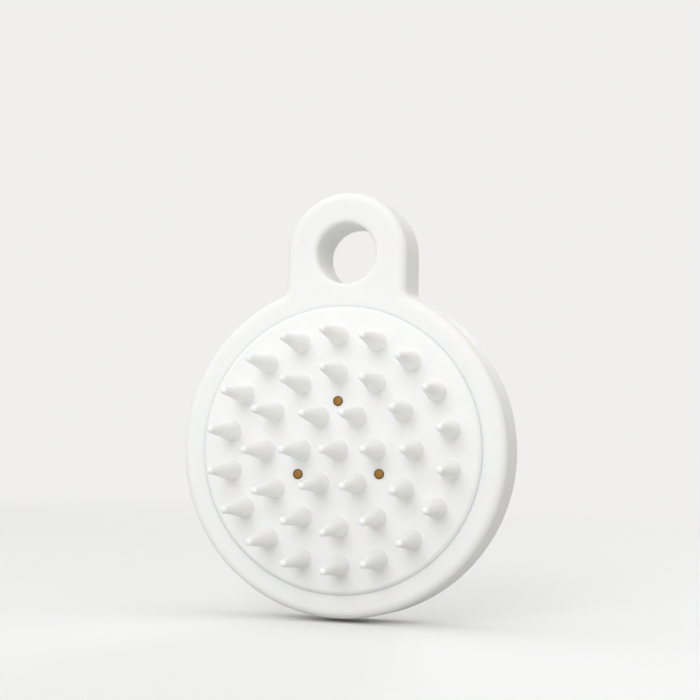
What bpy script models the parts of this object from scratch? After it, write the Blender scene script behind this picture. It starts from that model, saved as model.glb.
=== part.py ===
"""Shower scalp massager: a round soft body with a hanging loop, a domed pad of conical nubs with three
flush contacts, and a sealed rechargeable vibration drive inside.

Units are metres. +Z is up, the nubs face -Y, and the origin is the centre of the hanging hole. Pieces are
drawn in the face frame of the empty face_axis: x to the right, y up towards the loop and z out of the face,
with z = 0 on the flat back. Motor pieces are drawn round the z axis of the empty motor_axis, which lies along
the face's x.
"""

import math

import bmesh
import bpy
from mathutils import Matrix, Vector

# Clearances
SEAT = 0.0003
RUNNING_GAP = 0.0003
CUT_MARGIN = 0.0010
ROOT = 0.0006
EDGE_BREAK = 0.0004
COMPONENT_EDGE = 0.00015

# Soft body with its hanging loop
BODY_RADIUS = 0.0400
LOOP_RADIUS = 0.0151
LOOP_RISE = 0.0067
HANG_HOLE_RADIUS = 0.0072
HANG_HOLE_ROUND = 0.0012
HANG_HOLE_FLARE = math.radians(75.0)
NECK_FILLET = 0.0020
FRONT_ROUND = 0.0022
BACK_ROUND = 0.0035
WALL_DRAFT = 0.0004
SKIN_WALL = 0.0040
SKIN_BACK = 0.0016
LIP_DEPTH = 0.0019
LIP_OVERLAP = 0.0023
SEAM_GAP = 0.0003

# Pad and nubs: ring number n holds six times n nubs, and the whole pattern is turned a little
PAD_CROWN = 0.0020
PAD_TURN = 1.8
PAD_EDGE_ROUND = 0.0005
NUB_RINGS = 3
NUB_EDGE_MARGIN = 0.0067
NUB_HEIGHT = 0.0143
NUB_FOOT_RADIUS = 0.0026
NUB_TIP_RADIUS = 0.0009
NUB_HOLLOW = 1.4
NUB_RING_START = (0.0, 0.0, 90.0)

# Contacts
CONTACT_OFFSET = 0.0024
CONTACT_ANGLES = {"top": 90.0, "left": 210.0, "right": 330.0}
CONTACT_FACE_RADIUS = 0.00105
CONTACT_FLANGE_RADIUS = 0.0019
CONTACT_FLANGE = 0.0006
CONTACT_SHANK_RADIUS = 0.0007
CONTACT_TAIL = 0.0004

# Rigid core: cup, carrier plate, seal and screws
CUP_FLOOR = 0.0015
CUP_WALL = 0.0024
CUP_CHAMFER = 0.0012
PLATE_THICKNESS = 0.0015
SEAL_WIDTH = 0.0006
SEAL_DEPTH = 0.0006
PLATE_SCREW_ANGLES = (30.0, 150.0, 210.0, 330.0)
PLATE_SCREW_INSET = 0.0026
PLATE_BOSS_RADIUS = 0.0029
PLATE_SCREW_LENGTH = 0.0055
SCREW_HEAD_RADIUS = 0.0017
SCREW_HEAD = 0.0006
SCREW_HEAD_CROWN = 0.0004
SCREW_SHANK_RADIUS = 0.0008

# Circuit board and what is on it
BOARD_ROOM = 0.0171
BOARD_FLAT_CUT = 0.0030
BOARD_THICKNESS = 0.0010
BOARD_BOSS = 0.0012
BOARD_BOSS_RADIUS = 0.0022
BOARD_SCREW_INSET = 0.0035
BOARD_SCREW_ANGLES = (30.0, 150.0)
BOARD_SCREW_MARGIN = 0.0030
BOARD_SCREW_LENGTH = 0.0030
SWITCH_WIDTH = 0.0060
SWITCH_HEIGHT = 0.0015
PLUNGER_RADIUS = 0.0015
SWITCH_ROOF = 0.0004
CHIP_SIZE = (0.0050, 0.0050, 0.0009)
CHIP_PLACE = (0.0085, 0.0)
CONNECTOR_SIZE = (0.0050, 0.0032, 0.0022)
LED_SIZE = (0.0016, 0.0010, 0.0006)
LED_GAP = 0.0013

# Button and light on the back
BUTTON_RADIUS = 0.0047
BUTTON_TRAVEL = 0.0005
BUTTON_RECESS = 0.0002
BUTTON_DISH = 0.0005
BUTTON_FLANGE_RIM = 0.0013
BUTTON_FLANGE = 0.0008
BUTTON_POST_RADIUS = 0.0020
ORING_RADIUS = 0.00035
PIPE_RADIUS = 0.0009
PIPE_FLANGE_RADIUS = 0.0017
PIPE_FLANGE = 0.0006

# Battery
BATTERY_WIDTH = 0.0250
BATTERY_HEIGHT = 0.0120
BATTERY_THICKNESS = 0.0042
BATTERY_ROUND = 0.0009
BATTERY_TERRACE = 0.0016
TERRACE_THICKNESS = 0.0010
TERRACE_LIFT = 0.0005
BATTERY_WALL_GAP = 0.0008
FOAM_THICKNESS = 0.0005
FENCE_WALL = 0.0010
FENCE_HEIGHT = 0.0022
LEAD_RADIUS = 0.00045
LEAD_PITCH = 0.0016
LEAD_LANDING = 0.0060
LEAD_BULGE = 0.0022

# Vibration motor, its weight and its clamp
MOTOR_RADIUS = 0.0030
MOTOR_LENGTH = 0.0140
MOTOR_FRONT = 0.0010
MOTOR_BOARD_GAP = 0.0010
MOTOR_BOSS_RADIUS = 0.0014
MOTOR_BOSS = 0.0008
END_CAP = 0.0022
SHAFT_RADIUS = 0.0005
SHAFT_TIP = 0.0006
SHAFT_BORE_DEPTH = 0.0030
WEIGHT_INSET = 0.0001
WEIGHT_HUB_RADIUS = 0.0014
WEIGHT_LENGTH = 0.0050
WEIGHT_GAP = 0.0007
WEIGHT_BORE_GAP = 0.0001
CRADLE_FLOOR = 0.0008
CRADLE_RIB = 0.0016
CRADLE_SPREAD = 0.0082
STRAP = 0.0008
STRAP_WIDTH = 0.0050
STRAP_EAR = 0.0042
STRAP_HEADROOM = 0.0005
CLAMP_BOSS_RADIUS = 0.0021
CLAMP_SCREW_LENGTH = 0.0035

# Facets
BODY_ARC_STEPS = 44
LOOP_ARC_STEPS = 16
FILLET_STEPS = 3
ROUND_STEPS = 4
LARGE_SIDES = 48
HOLE_SIDES = 32
BUTTON_SIDES = 24
SMALL_SIDES = 12
NUB_SIDES = 10
NUB_FLANK_STEPS = 4
LEAD_TURNS = 5
TIP_STEPS = 1
DOME_STEPS = 5
ORING_STEPS = 6
STRAP_STEPS = 14
LEAD_STEPS = 2
NUB_FACET_TURN = math.radians(5.0)
SMOOTH_ANGLE = math.radians(38.0)

# Stack from the back face to the front, set by the motor and its strap
CUP_BACK = SKIN_BACK + SEAT
FLOOR_TOP = CUP_BACK + CUP_FLOOR
MOTOR_Z = FLOOR_TOP + CRADLE_FLOOR + MOTOR_RADIUS
PLATE_BACK = MOTOR_Z + MOTOR_RADIUS + SEAT + STRAP + STRAP_HEADROOM
PLATE_FRONT = PLATE_BACK + PLATE_THICKNESS
LIP_BACK = PLATE_FRONT + SEAT
BODY_DEPTH = LIP_BACK + LIP_DEPTH
CUP_TOP = PLATE_BACK - SEAT

# Radii that follow from the body
CUP_RADIUS = BODY_RADIUS - SKIN_WALL
CUP_INNER = CUP_RADIUS - CUP_WALL
BOARD_RADIUS = CUP_INNER - BOARD_ROOM
LOOP_HEIGHT = BODY_RADIUS + LOOP_RISE
OPENING_RADIUS = CUP_RADIUS + SEAT - LIP_OVERLAP
PAD_RADIUS = OPENING_RADIUS - SEAM_GAP
NUB_PITCH = (PAD_RADIUS - NUB_EDGE_MARGIN) / NUB_RINGS
CONTACT_RADIUS = NUB_PITCH + CONTACT_OFFSET

# Board stack, hung under the carrier plate
BOARD_FRONT = PLATE_BACK - BOARD_BOSS - SEAT
BOARD_BACK = BOARD_FRONT - BOARD_THICKNESS
SWITCH_FRONT = BOARD_BACK - SEAT
SWITCH_BACK = SWITCH_FRONT - SWITCH_HEIGHT
PLUNGER_BACK = SWITCH_BACK - BUTTON_TRAVEL - SEAT
PLUNGER_BORE_FRONT = SWITCH_FRONT - SWITCH_ROOF
PLUNGER_FRONT = PLUNGER_BORE_FRONT - BUTTON_TRAVEL - RUNNING_GAP
BUTTON_POST_FRONT = PLUNGER_BACK - SEAT
BUTTON_FLANGE_RADIUS = BUTTON_RADIUS + BUTTON_FLANGE_RIM
LED_OFFSET = BUTTON_FLANGE_RADIUS + LED_GAP + PIPE_FLANGE_RADIUS

# Places inside the cup
STRAP_RADIUS = MOTOR_RADIUS + SEAT + STRAP
WEIGHT_RADIUS = MOTOR_RADIUS - WEIGHT_INSET
BOARD_FLAT = BOARD_FLAT_CUT - BOARD_RADIUS
MOTOR_Y = BOARD_FLAT - MOTOR_BOARD_GAP - STRAP_RADIUS
MOTOR_MIDDLE = MOTOR_FRONT - MOTOR_LENGTH / 2.0
WEIGHT_START = MOTOR_FRONT + MOTOR_BOSS + WEIGHT_GAP
FENCE_REACH = BATTERY_WIDTH / 2.0 + SEAT + FENCE_WALL
BATTERY_TOP = math.sqrt((CUP_INNER - BATTERY_WALL_GAP) ** 2 - FENCE_REACH**2) - FENCE_WALL - SEAT
BATTERY_Y = BATTERY_TOP - BATTERY_HEIGHT / 2.0
FOAM_BACK = FLOOR_TOP + SEAT
BATTERY_BACK = FOAM_BACK + FOAM_THICKNESS + SEAT
TERRACE_Z = FLOOR_TOP + FENCE_HEIGHT + TERRACE_LIFT + TERRACE_THICKNESS / 2.0


def finish(name, colour, roughness, metallic=0.0):
    """A plain material with the colour, roughness and metallic value of one piece."""
    material = bpy.data.materials.new(name)
    material.use_nodes = True
    shader = material.node_tree.nodes["Principled BSDF"]
    shader.inputs["Base Color"].default_value = (*colour, 1.0)
    shader.inputs["Roughness"].default_value = roughness
    shader.inputs["Metallic"].default_value = metallic
    return material


def piece(name, bm, material=None):
    """Turn a bmesh into a named object."""
    mesh = bpy.data.meshes.new(name)
    bm.to_mesh(mesh)
    bm.free()
    obj = bpy.data.objects.new(name, mesh)
    bpy.context.scene.collection.objects.link(obj)
    if material:
        mesh.materials.append(material)
    return obj


def smooth(obj):
    """Shade round faces smooth and keep true edges sharp."""
    obj.data.shade_smooth()
    obj.data.set_sharp_from_angle(angle=SMOOTH_ANGLE)


def combine(target, operation, bm):
    """Join a shape to an object, or cut it out of it."""
    tool = piece("tool", bm)
    modifier = target.modifiers.new("combine", "BOOLEAN")
    modifier.operation = operation
    modifier.solver = "EXACT"
    modifier.object = tool
    graph = bpy.context.evaluated_depsgraph_get()
    result = bpy.data.meshes.new_from_object(target.evaluated_get(graph))
    target.modifiers.remove(modifier)
    before = target.data
    target.data = result
    result.name = target.name
    bpy.data.meshes.remove(before)
    bpy.data.objects.remove(tool)


def join(target, bm):
    combine(target, "UNION", bm)


def cut(target, bm):
    combine(target, "DIFFERENCE", bm)


def polar(radius, degrees):
    """A point of the face at a radius and an angle from +x."""
    angle = math.radians(degrees)
    return radius * math.cos(angle), radius * math.sin(angle)


def arc(centre, radius, start, end, steps):
    """Points along an arc, both ends included, with angles in radians."""
    points = []
    for step in range(steps + 1):
        angle = start + (end - start) * step / steps
        points.append((centre[0] + radius * math.cos(angle), centre[1] + radius * math.sin(angle)))
    return points


def loft(rings):
    """A solid through equal rings of points, closed by a flat face at each end."""
    bm = bmesh.new()
    loops = [[bm.verts.new(point) for point in ring] for ring in rings]
    count = len(loops[0])
    for lower, upper in zip(loops, loops[1:]):
        for index in range(count):
            after = (index + 1) % count
            bm.faces.new((lower[index], lower[after], upper[after], upper[index]))
    bm.faces.new(loops[0][::-1])
    bm.faces.new(loops[-1])
    bmesh.ops.recalc_face_normals(bm, faces=bm.faces)
    return bm


def prism(outline, low, high):
    """An outline carried straight from one height to another."""
    return loft([[(x, y, z) for x, y in outline] for z in (low, high)])


def turned(profile, sides, centre=(0.0, 0.0), start=0.0):
    """A profile of radius and height turned round z: a solid if it starts and ends on the axis, else a ring.

    A flat end is one face; a domed one comes to a point on the axis. The first facet is at the start angle.
    """
    bm = bmesh.new()
    flat_first = profile[0][0] == 0.0 and profile[0][1] == profile[1][1]
    flat_last = profile[-1][0] == 0.0 and profile[-1][1] == profile[-2][1]
    angles = [start + 2.0 * math.pi * step / sides for step in range(sides)]
    loops = []
    for radius, height in profile[int(flat_first):len(profile) - int(flat_last)]:
        if radius == 0.0:
            loops.append([bm.verts.new((*centre, height))] * sides)
            continue
        spots = [(centre[0] + radius * math.cos(a), centre[1] + radius * math.sin(a), height) for a in angles]
        loops.append([bm.verts.new(spot) for spot in spots])
    if flat_first:
        bm.faces.new(loops[0])
    if flat_last:
        bm.faces.new(loops[-1])
    if profile[0][0] > 0.0:
        loops.append(loops[0])
    for lower, upper in zip(loops, loops[1:]):
        for index in range(sides):
            after = (index + 1) % sides
            corners = (lower[index], lower[after], upper[after], upper[index])
            bm.faces.new(list(dict.fromkeys(corners)))
    bmesh.ops.recalc_face_normals(bm, faces=bm.faces)
    return bm


def rod(radius, low, high, sides, centre=(0.0, 0.0)):
    """A plain cylinder along z."""
    return turned([(0.0, low), (radius, low), (radius, high), (0.0, high)], sides, centre)


def block(size, centre, low, edge=0.0):
    """A box on a centre of the face, from a height upwards, with its edges rounded off."""
    bm = bmesh.new()
    bmesh.ops.create_cube(bm, size=1.0)
    middle = Vector((centre[0], centre[1], low + size[2] / 2.0))
    bm.transform(Matrix.Translation(middle) @ Matrix.Diagonal((*size, 1.0)))
    if edge:
        bmesh.ops.bevel(bm, geom=bm.edges, offset=edge, segments=2, profile=0.5, affect="EDGES")
    return bm


def gather(shapes):
    """Several shapes that don't touch, as one bmesh."""
    whole = bmesh.new()
    for bm in shapes:
        mesh = bpy.data.meshes.new("shape")
        bm.to_mesh(mesh)
        bm.free()
        whole.from_mesh(mesh)
        bpy.data.meshes.remove(mesh)
    return whole


def screws(name, places, seat, length, towards, material):
    """Pan-head screws of one size, seated under the head; towards is the way the heads point along z."""
    profile = [
        (0.0, towards * SCREW_HEAD),
        (SCREW_HEAD_RADIUS - SCREW_HEAD_CROWN, towards * SCREW_HEAD),
        (SCREW_HEAD_RADIUS, towards * (SCREW_HEAD - SCREW_HEAD_CROWN)),
        (SCREW_HEAD_RADIUS, 0.0),
        (SCREW_SHANK_RADIUS, 0.0),
        (SCREW_SHANK_RADIUS, -towards * (length - SCREW_SHANK_RADIUS)),
        (0.0, -towards * length),
    ]
    first = piece(name + "_1", turned(profile, SMALL_SIDES), material)
    copies = [first]
    for number in range(2, len(places) + 1):
        copy = bpy.data.objects.new(name + "_" + str(number), first.data)
        bpy.context.scene.collection.objects.link(copy)
        copies.append(copy)
    for obj, place in zip(copies, places):
        obj.location = (*place, seat)
    return copies


def keyhole(inset):
    """Outline of the round body and its loop, drawn in from the widest line; all its arcs stay concentric."""
    body, loop, fillet = BODY_RADIUS - inset, LOOP_RADIUS - inset, NECK_FILLET + inset
    side = LOOP_RADIUS + NECK_FILLET
    neck = math.sqrt((BODY_RADIUS + NECK_FILLET) ** 2 - side**2)
    lean = math.atan2(neck, side)
    right = arc((side, neck), fillet, math.pi, math.pi + lean, FILLET_STEPS)
    round_body = arc((0.0, 0.0), body, lean, -math.pi - lean, BODY_ARC_STEPS)
    left = arc((-side, neck), fillet, -lean, 0.0, FILLET_STEPS)
    loop_top = arc((0.0, LOOP_HEIGHT), loop, math.pi, 0.0, LOOP_ARC_STEPS)
    return right + round_body[1:-1] + left + loop_top


def skin_section():
    """How far the wall is drawn in at each height: a rounded back, a slight draft and a rounded rim."""
    quarter = [math.pi / 2.0 * step / ROUND_STEPS for step in range(ROUND_STEPS + 1)]
    back = [(BACK_ROUND * (1.0 - math.sin(t)), BACK_ROUND * (1.0 - math.cos(t))) for t in quarter]
    front = [
        (WALL_DRAFT + FRONT_ROUND * (1.0 - math.cos(t)), BODY_DEPTH - FRONT_ROUND * (1.0 - math.sin(t)))
        for t in quarter
    ]
    return back + front


def hang_hole():
    """The cutter of the hanging hole, flared at both faces so that its edges come out rounded."""
    turns = [HANG_HOLE_FLARE * step / ROUND_STEPS for step in range(ROUND_STEPS, -1, -1)]
    reach = HANG_HOLE_RADIUS + HANG_HOLE_ROUND
    back = [(reach - HANG_HOLE_ROUND * math.cos(t), HANG_HOLE_ROUND * (1.0 - math.sin(t))) for t in turns]
    outside = EDGE_BREAK
    fall = outside + back[0][1]
    back.insert(0, (back[0][0] + fall * math.tan(HANG_HOLE_FLARE), -outside))
    front = [(radius, BODY_DEPTH - height) for radius, height in reversed(back)]
    profile = [(0.0, -outside), *back, *front, (0.0, BODY_DEPTH + outside)]
    return turned(profile, HOLE_SIDES, (0.0, LOOP_HEIGHT))


def body_skin(material):
    """Soft one-piece body: rim, side wall, back and loop, open in front for the core and the pad."""
    outer = loft([[(x, y, z) for x, y in keyhole(inset)] for inset, z in skin_section()])
    skin = piece("body_skin", outer, material)
    cut(skin, hang_hole())
    room = [
        (0.0, SKIN_BACK),
        (CUP_RADIUS + SEAT, SKIN_BACK),
        (CUP_RADIUS + SEAT, LIP_BACK),
        (OPENING_RADIUS, LIP_BACK),
        (OPENING_RADIUS, BODY_DEPTH + CUT_MARGIN),
        (0.0, BODY_DEPTH + CUT_MARGIN),
    ]
    cut(skin, turned(room, LARGE_SIDES))
    cut(skin, rod(BUTTON_RADIUS + RUNNING_GAP, -CUT_MARGIN, SKIN_BACK + CUT_MARGIN, BUTTON_SIDES))
    cut(skin, rod(PIPE_RADIUS + SEAT, -CUT_MARGIN, SKIN_BACK + CUT_MARGIN, SMALL_SIDES, (0.0, LED_OFFSET)))
    return skin


def pad_height(radius):
    """Height of the pad's face at a radius: a soft dome that runs out level at the edge."""
    return BODY_DEPTH + PAD_CROWN * (1.0 + math.cos(math.pi * radius / PAD_RADIUS)) / 2.0


def nub(place):
    """One nub: a cone with hollow flanks and a round tip, square to the dome and rooted in the pad."""
    flank = NUB_HEIGHT - NUB_TIP_RADIUS
    profile = [(0.0, -ROOT), (NUB_FOOT_RADIUS, -ROOT)]
    for step in range(NUB_FLANK_STEPS + 1):
        rise = step / NUB_FLANK_STEPS
        radius = NUB_TIP_RADIUS + (NUB_FOOT_RADIUS - NUB_TIP_RADIUS) * (1.0 - rise) ** NUB_HOLLOW
        profile.append((radius, flank * rise))
    for step in range(1, TIP_STEPS + 1):
        turn = math.pi / 2.0 * step / (TIP_STEPS + 1)
        profile.append((NUB_TIP_RADIUS * math.cos(turn), flank + NUB_TIP_RADIUS * math.sin(turn)))
    profile.append((0.0, NUB_HEIGHT))
    radius = math.hypot(*place)
    slope = math.atan(PAD_CROWN * math.pi / (2.0 * PAD_RADIUS) * math.sin(math.pi * radius / PAD_RADIUS))
    lean = Matrix.Rotation(slope, 4, Vector((-place[1], place[0], 0.0))) if radius else Matrix.Identity(4)
    bm = turned(profile, NUB_SIDES, start=NUB_FACET_TURN)
    bm.transform(Matrix.Translation((*place, pad_height(radius))) @ lean)
    return bm


def nub_places():
    """Centres of the nubs: one in the middle, then the rings."""
    places = [(0.0, 0.0)]
    for ring in range(1, NUB_RINGS + 1):
        count = 6 * ring
        start = NUB_RING_START[ring - 1] + PAD_TURN
        places += [polar(ring * NUB_PITCH, start + 360.0 * step / count) for step in range(count)]
    return places


def contact_places():
    return {name: polar(CONTACT_RADIUS, angle + PAD_TURN) for name, angle in CONTACT_ANGLES.items()}


def nub_pad(material):
    """Soft domed pad with all its nubs in one moulding, with a stepped hole for each contact."""
    edge = PAD_RADIUS - PAD_EDGE_ROUND
    profile = [(0.0, LIP_BACK), (PAD_RADIUS, LIP_BACK), (PAD_RADIUS, BODY_DEPTH - PAD_EDGE_ROUND)]
    steps = [edge * step / DOME_STEPS for step in range(DOME_STEPS, -1, -1)]
    profile += [(radius, pad_height(radius)) for radius in steps]
    pad = piece("nub_pad", turned(profile, LARGE_SIDES), material)
    join(pad, gather([nub(place) for place in nub_places()]))
    flange_room = LIP_BACK + CONTACT_FLANGE + SEAT
    for place in contact_places().values():
        hole = [
            (0.0, LIP_BACK - CUT_MARGIN),
            (CONTACT_FLANGE_RADIUS + SEAT, LIP_BACK - CUT_MARGIN),
            (CONTACT_FLANGE_RADIUS + SEAT, flange_room),
            (CONTACT_FACE_RADIUS + SEAT, flange_room),
            (CONTACT_FACE_RADIUS + SEAT, BODY_DEPTH + PAD_CROWN + CUT_MARGIN),
            (0.0, BODY_DEPTH + PAD_CROWN + CUT_MARGIN),
        ]
        cut(pad, turned(hole, SMALL_SIDES, place))
    return pad


def contact_pin(name, place, material):
    """Turned pin: face flush with the pad, flange on the carrier plate, tail through the board."""
    face = pad_height(CONTACT_RADIUS)
    profile = [
        (0.0, face),
        (CONTACT_FACE_RADIUS - COMPONENT_EDGE, face),
        (CONTACT_FACE_RADIUS, face - COMPONENT_EDGE),
        (CONTACT_FACE_RADIUS, LIP_BACK + CONTACT_FLANGE),
        (CONTACT_FLANGE_RADIUS, LIP_BACK + CONTACT_FLANGE),
        (CONTACT_FLANGE_RADIUS, LIP_BACK),
        (CONTACT_SHANK_RADIUS, LIP_BACK),
        (CONTACT_SHANK_RADIUS, BOARD_BACK - CONTACT_TAIL),
        (0.0, BOARD_BACK - CONTACT_TAIL),
    ]
    return piece("contact_pin_" + name, turned(profile, SMALL_SIDES, place), material)


def plate_screw_places():
    return [polar(CUP_INNER - PLATE_SCREW_INSET, angle) for angle in PLATE_SCREW_ANGLES]


def clamp_screw_places():
    reach = STRAP_RADIUS + STRAP_EAR / 2.0
    return [(MOTOR_MIDDLE, MOTOR_Y + side * reach) for side in (-1.0, 1.0)]


def board_screw_places():
    places = [polar(BOARD_RADIUS - BOARD_SCREW_INSET, angle) for angle in BOARD_SCREW_ANGLES]
    return places + [(0.0, BOARD_FLAT + BOARD_SCREW_MARGIN)]


def connector_place():
    """Place of the plug socket, beside the board's left screw."""
    x, y = board_screw_places()[1]
    return x + SCREW_HEAD_RADIUS + SEAT + CONNECTOR_SIZE[0] / 2.0, y


def cradle():
    """Two ribs that carry the motor, with the round of its can cut from them later."""
    size = (CRADLE_RIB, 2.0 * MOTOR_RADIUS + 2.0 * CRADLE_RIB, MOTOR_Z - FLOOR_TOP + ROOT - SEAT)
    spots = [(MOTOR_MIDDLE + side * CRADLE_SPREAD / 2.0, MOTOR_Y) for side in (-1.0, 1.0)]
    return gather([block(size, spot, FLOOR_TOP - ROOT) for spot in spots])


def battery_fence():
    """A low wall round the battery, open in the middle."""
    inner = Vector((BATTERY_WIDTH / 2.0 + SEAT, BATTERY_HEIGHT / 2.0 + SEAT))
    outer = inner + Vector((FENCE_WALL, FENCE_WALL))
    corners = [(-1.0, -1.0), (1.0, -1.0), (1.0, 1.0), (-1.0, 1.0)]
    low, high = FLOOR_TOP - ROOT, FLOOR_TOP + FENCE_HEIGHT
    bm = bmesh.new()
    rings = []
    for half, height in ((outer, low), (outer, high), (inner, high), (inner, low)):
        rings.append([bm.verts.new((sx * half.x, BATTERY_Y + sy * half.y, height)) for sx, sy in corners])
    for lower, upper in zip(rings, rings[1:] + rings[:1]):
        for index in range(4):
            after = (index + 1) % 4
            bm.faces.new((lower[index], lower[after], upper[after], upper[index]))
    bmesh.ops.recalc_face_normals(bm, faces=bm.faces)
    return bm


def seal_line():
    """Middle radius of the seal, half way across the cup's wall."""
    return CUP_INNER + CUP_WALL / 2.0


def core_cup(material):
    """Rigid cup inside the skin: floor, wall, seal groove, bosses, motor cradle and battery fence."""
    groove = CUP_TOP - SEAL_DEPTH - SEAT
    half = SEAL_WIDTH / 2.0 + SEAT
    profile = [
        (0.0, CUP_BACK),
        (CUP_RADIUS - CUP_CHAMFER, CUP_BACK),
        (CUP_RADIUS, CUP_BACK + CUP_CHAMFER),
        (CUP_RADIUS, CUP_TOP),
        (seal_line() + half, CUP_TOP),
        (seal_line() + half, groove),
        (seal_line() - half, groove),
        (seal_line() - half, CUP_TOP),
        (CUP_INNER, CUP_TOP),
        (CUP_INNER, FLOOR_TOP),
        (0.0, FLOOR_TOP),
    ]
    cup = piece("core_cup", turned(profile, LARGE_SIDES), material)
    root = FLOOR_TOP - ROOT
    plate_boss = (PLATE_BOSS_RADIUS, root, CUP_TOP - SEAT, SMALL_SIDES)
    join(cup, gather([rod(*plate_boss, spot) for spot in plate_screw_places()]))
    clamp_boss = (CLAMP_BOSS_RADIUS, root, MOTOR_Z - SEAT, SMALL_SIDES)
    join(cup, gather([rod(*clamp_boss, spot) for spot in clamp_screw_places()]))
    join(cup, cradle())
    join(cup, battery_fence())
    trough = rod(MOTOR_RADIUS + SEAT, -MOTOR_LENGTH, MOTOR_LENGTH, BUTTON_SIDES)
    trough.transform(motor_frame())
    cut(cup, trough)
    pilot = SCREW_SHANK_RADIUS + SEAT
    plate_pilot = PLATE_FRONT - SCREW_HEAD - PLATE_SCREW_LENGTH - SEAT
    cut(cup, gather([rod(pilot, plate_pilot, CUP_TOP, SMALL_SIDES, spot) for spot in plate_screw_places()]))
    clamp_pilot = clamp_seat() - CLAMP_SCREW_LENGTH - SEAT
    cut(cup, gather([rod(pilot, clamp_pilot, MOTOR_Z, SMALL_SIDES, spot) for spot in clamp_screw_places()]))
    cut(cup, rod(BUTTON_RADIUS + RUNNING_GAP, CUP_BACK - CUT_MARGIN, FLOOR_TOP + CUT_MARGIN, BUTTON_SIDES))
    pipe_hole = (PIPE_RADIUS + SEAT, CUP_BACK - CUT_MARGIN, FLOOR_TOP + CUT_MARGIN)
    cut(cup, rod(*pipe_hole, SMALL_SIDES, (0.0, LED_OFFSET)))
    return cup


def seal_ring(material):
    """Gasket of square section in the groove of the cup's rim."""
    low, high = CUP_TOP - SEAL_DEPTH, PLATE_BACK - SEAT / 2.0
    inner, outer = seal_line() - SEAL_WIDTH / 2.0, seal_line() + SEAL_WIDTH / 2.0
    ring = [(outer, low), (outer, high), (inner, high), (inner, low)]
    return piece("seal_ring", turned(ring, LARGE_SIDES), material)


def carrier_plate(material):
    """Rigid lid of the cup, counterbored for screws, pierced for the contacts, with bosses for the board."""
    plate = piece("carrier_plate", rod(CUP_RADIUS, PLATE_BACK, PLATE_FRONT, LARGE_SIDES), material)
    boss = (BOARD_BOSS_RADIUS, PLATE_BACK - BOARD_BOSS, PLATE_BACK + ROOT, SMALL_SIDES)
    join(plate, gather([rod(*boss, spot) for spot in board_screw_places()]))
    shank = SCREW_SHANK_RADIUS + SEAT
    head = SCREW_HEAD_RADIUS + SEAT
    head_seat = PLATE_FRONT - SCREW_HEAD - SEAT
    top = PLATE_FRONT + CUT_MARGIN
    bottom = PLATE_BACK - CUT_MARGIN
    step_hole = [(0.0, bottom), (shank, bottom), (shank, head_seat)]
    step_hole += [(head, head_seat), (head, top), (0.0, top)]
    cut(plate, gather([turned(step_hole, SMALL_SIDES, spot) for spot in plate_screw_places()]))
    pilot_top = BOARD_BACK + BOARD_SCREW_LENGTH
    pilot_low = PLATE_BACK - BOARD_BOSS - CUT_MARGIN
    cut(plate, gather([rod(shank, pilot_low, pilot_top, SMALL_SIDES, spot) for spot in board_screw_places()]))
    for spot in contact_places().values():
        cut(plate, rod(CONTACT_SHANK_RADIUS + SEAT, bottom, top, SMALL_SIDES, spot))
    return plate


def main_board(material):
    """Round circuit board with a flat towards the motor, drilled for its screws and the contact tails."""
    lean = math.asin(BOARD_FLAT / BOARD_RADIUS)
    outline = arc((0.0, 0.0), BOARD_RADIUS, lean, math.pi - lean, HOLE_SIDES)
    board = piece("main_board", prism(outline, BOARD_BACK, BOARD_FRONT), material)
    low, high = BOARD_BACK - CUT_MARGIN, BOARD_FRONT + CUT_MARGIN
    shank = SCREW_SHANK_RADIUS + SEAT
    cut(board, gather([rod(shank, low, high, SMALL_SIDES, spot) for spot in board_screw_places()]))
    tail = CONTACT_SHANK_RADIUS + SEAT
    cut(board, gather([rod(tail, low, high, SMALL_SIDES, spot) for spot in contact_places().values()]))
    return board


def tact_switch(material):
    """Square push switch on the back of the board, with a blind bore for its plunger."""
    size = (SWITCH_WIDTH, SWITCH_WIDTH, SWITCH_HEIGHT)
    switch = piece("tact_switch", block(size, (0.0, 0.0), SWITCH_BACK, COMPONENT_EDGE), material)
    cut(switch, rod(PLUNGER_RADIUS + RUNNING_GAP, SWITCH_BACK - CUT_MARGIN, PLUNGER_BORE_FRONT, SMALL_SIDES))
    return switch


def switch_plunger(material):
    """Plunger of the switch, which the button's post pushes in."""
    profile = [
        (0.0, PLUNGER_BACK),
        (PLUNGER_RADIUS - EDGE_BREAK, PLUNGER_BACK),
        (PLUNGER_RADIUS, PLUNGER_BACK + EDGE_BREAK),
        (PLUNGER_RADIUS, PLUNGER_FRONT),
        (0.0, PLUNGER_FRONT),
    ]
    return piece("switch_plunger", turned(profile, SMALL_SIDES), material)


def oring_line():
    """Radius and height of the middle of the button's O-ring, in the thickness of the cup's floor."""
    return BUTTON_RADIUS - ORING_RADIUS, CUP_BACK + CUP_FLOOR / 2.0


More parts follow.
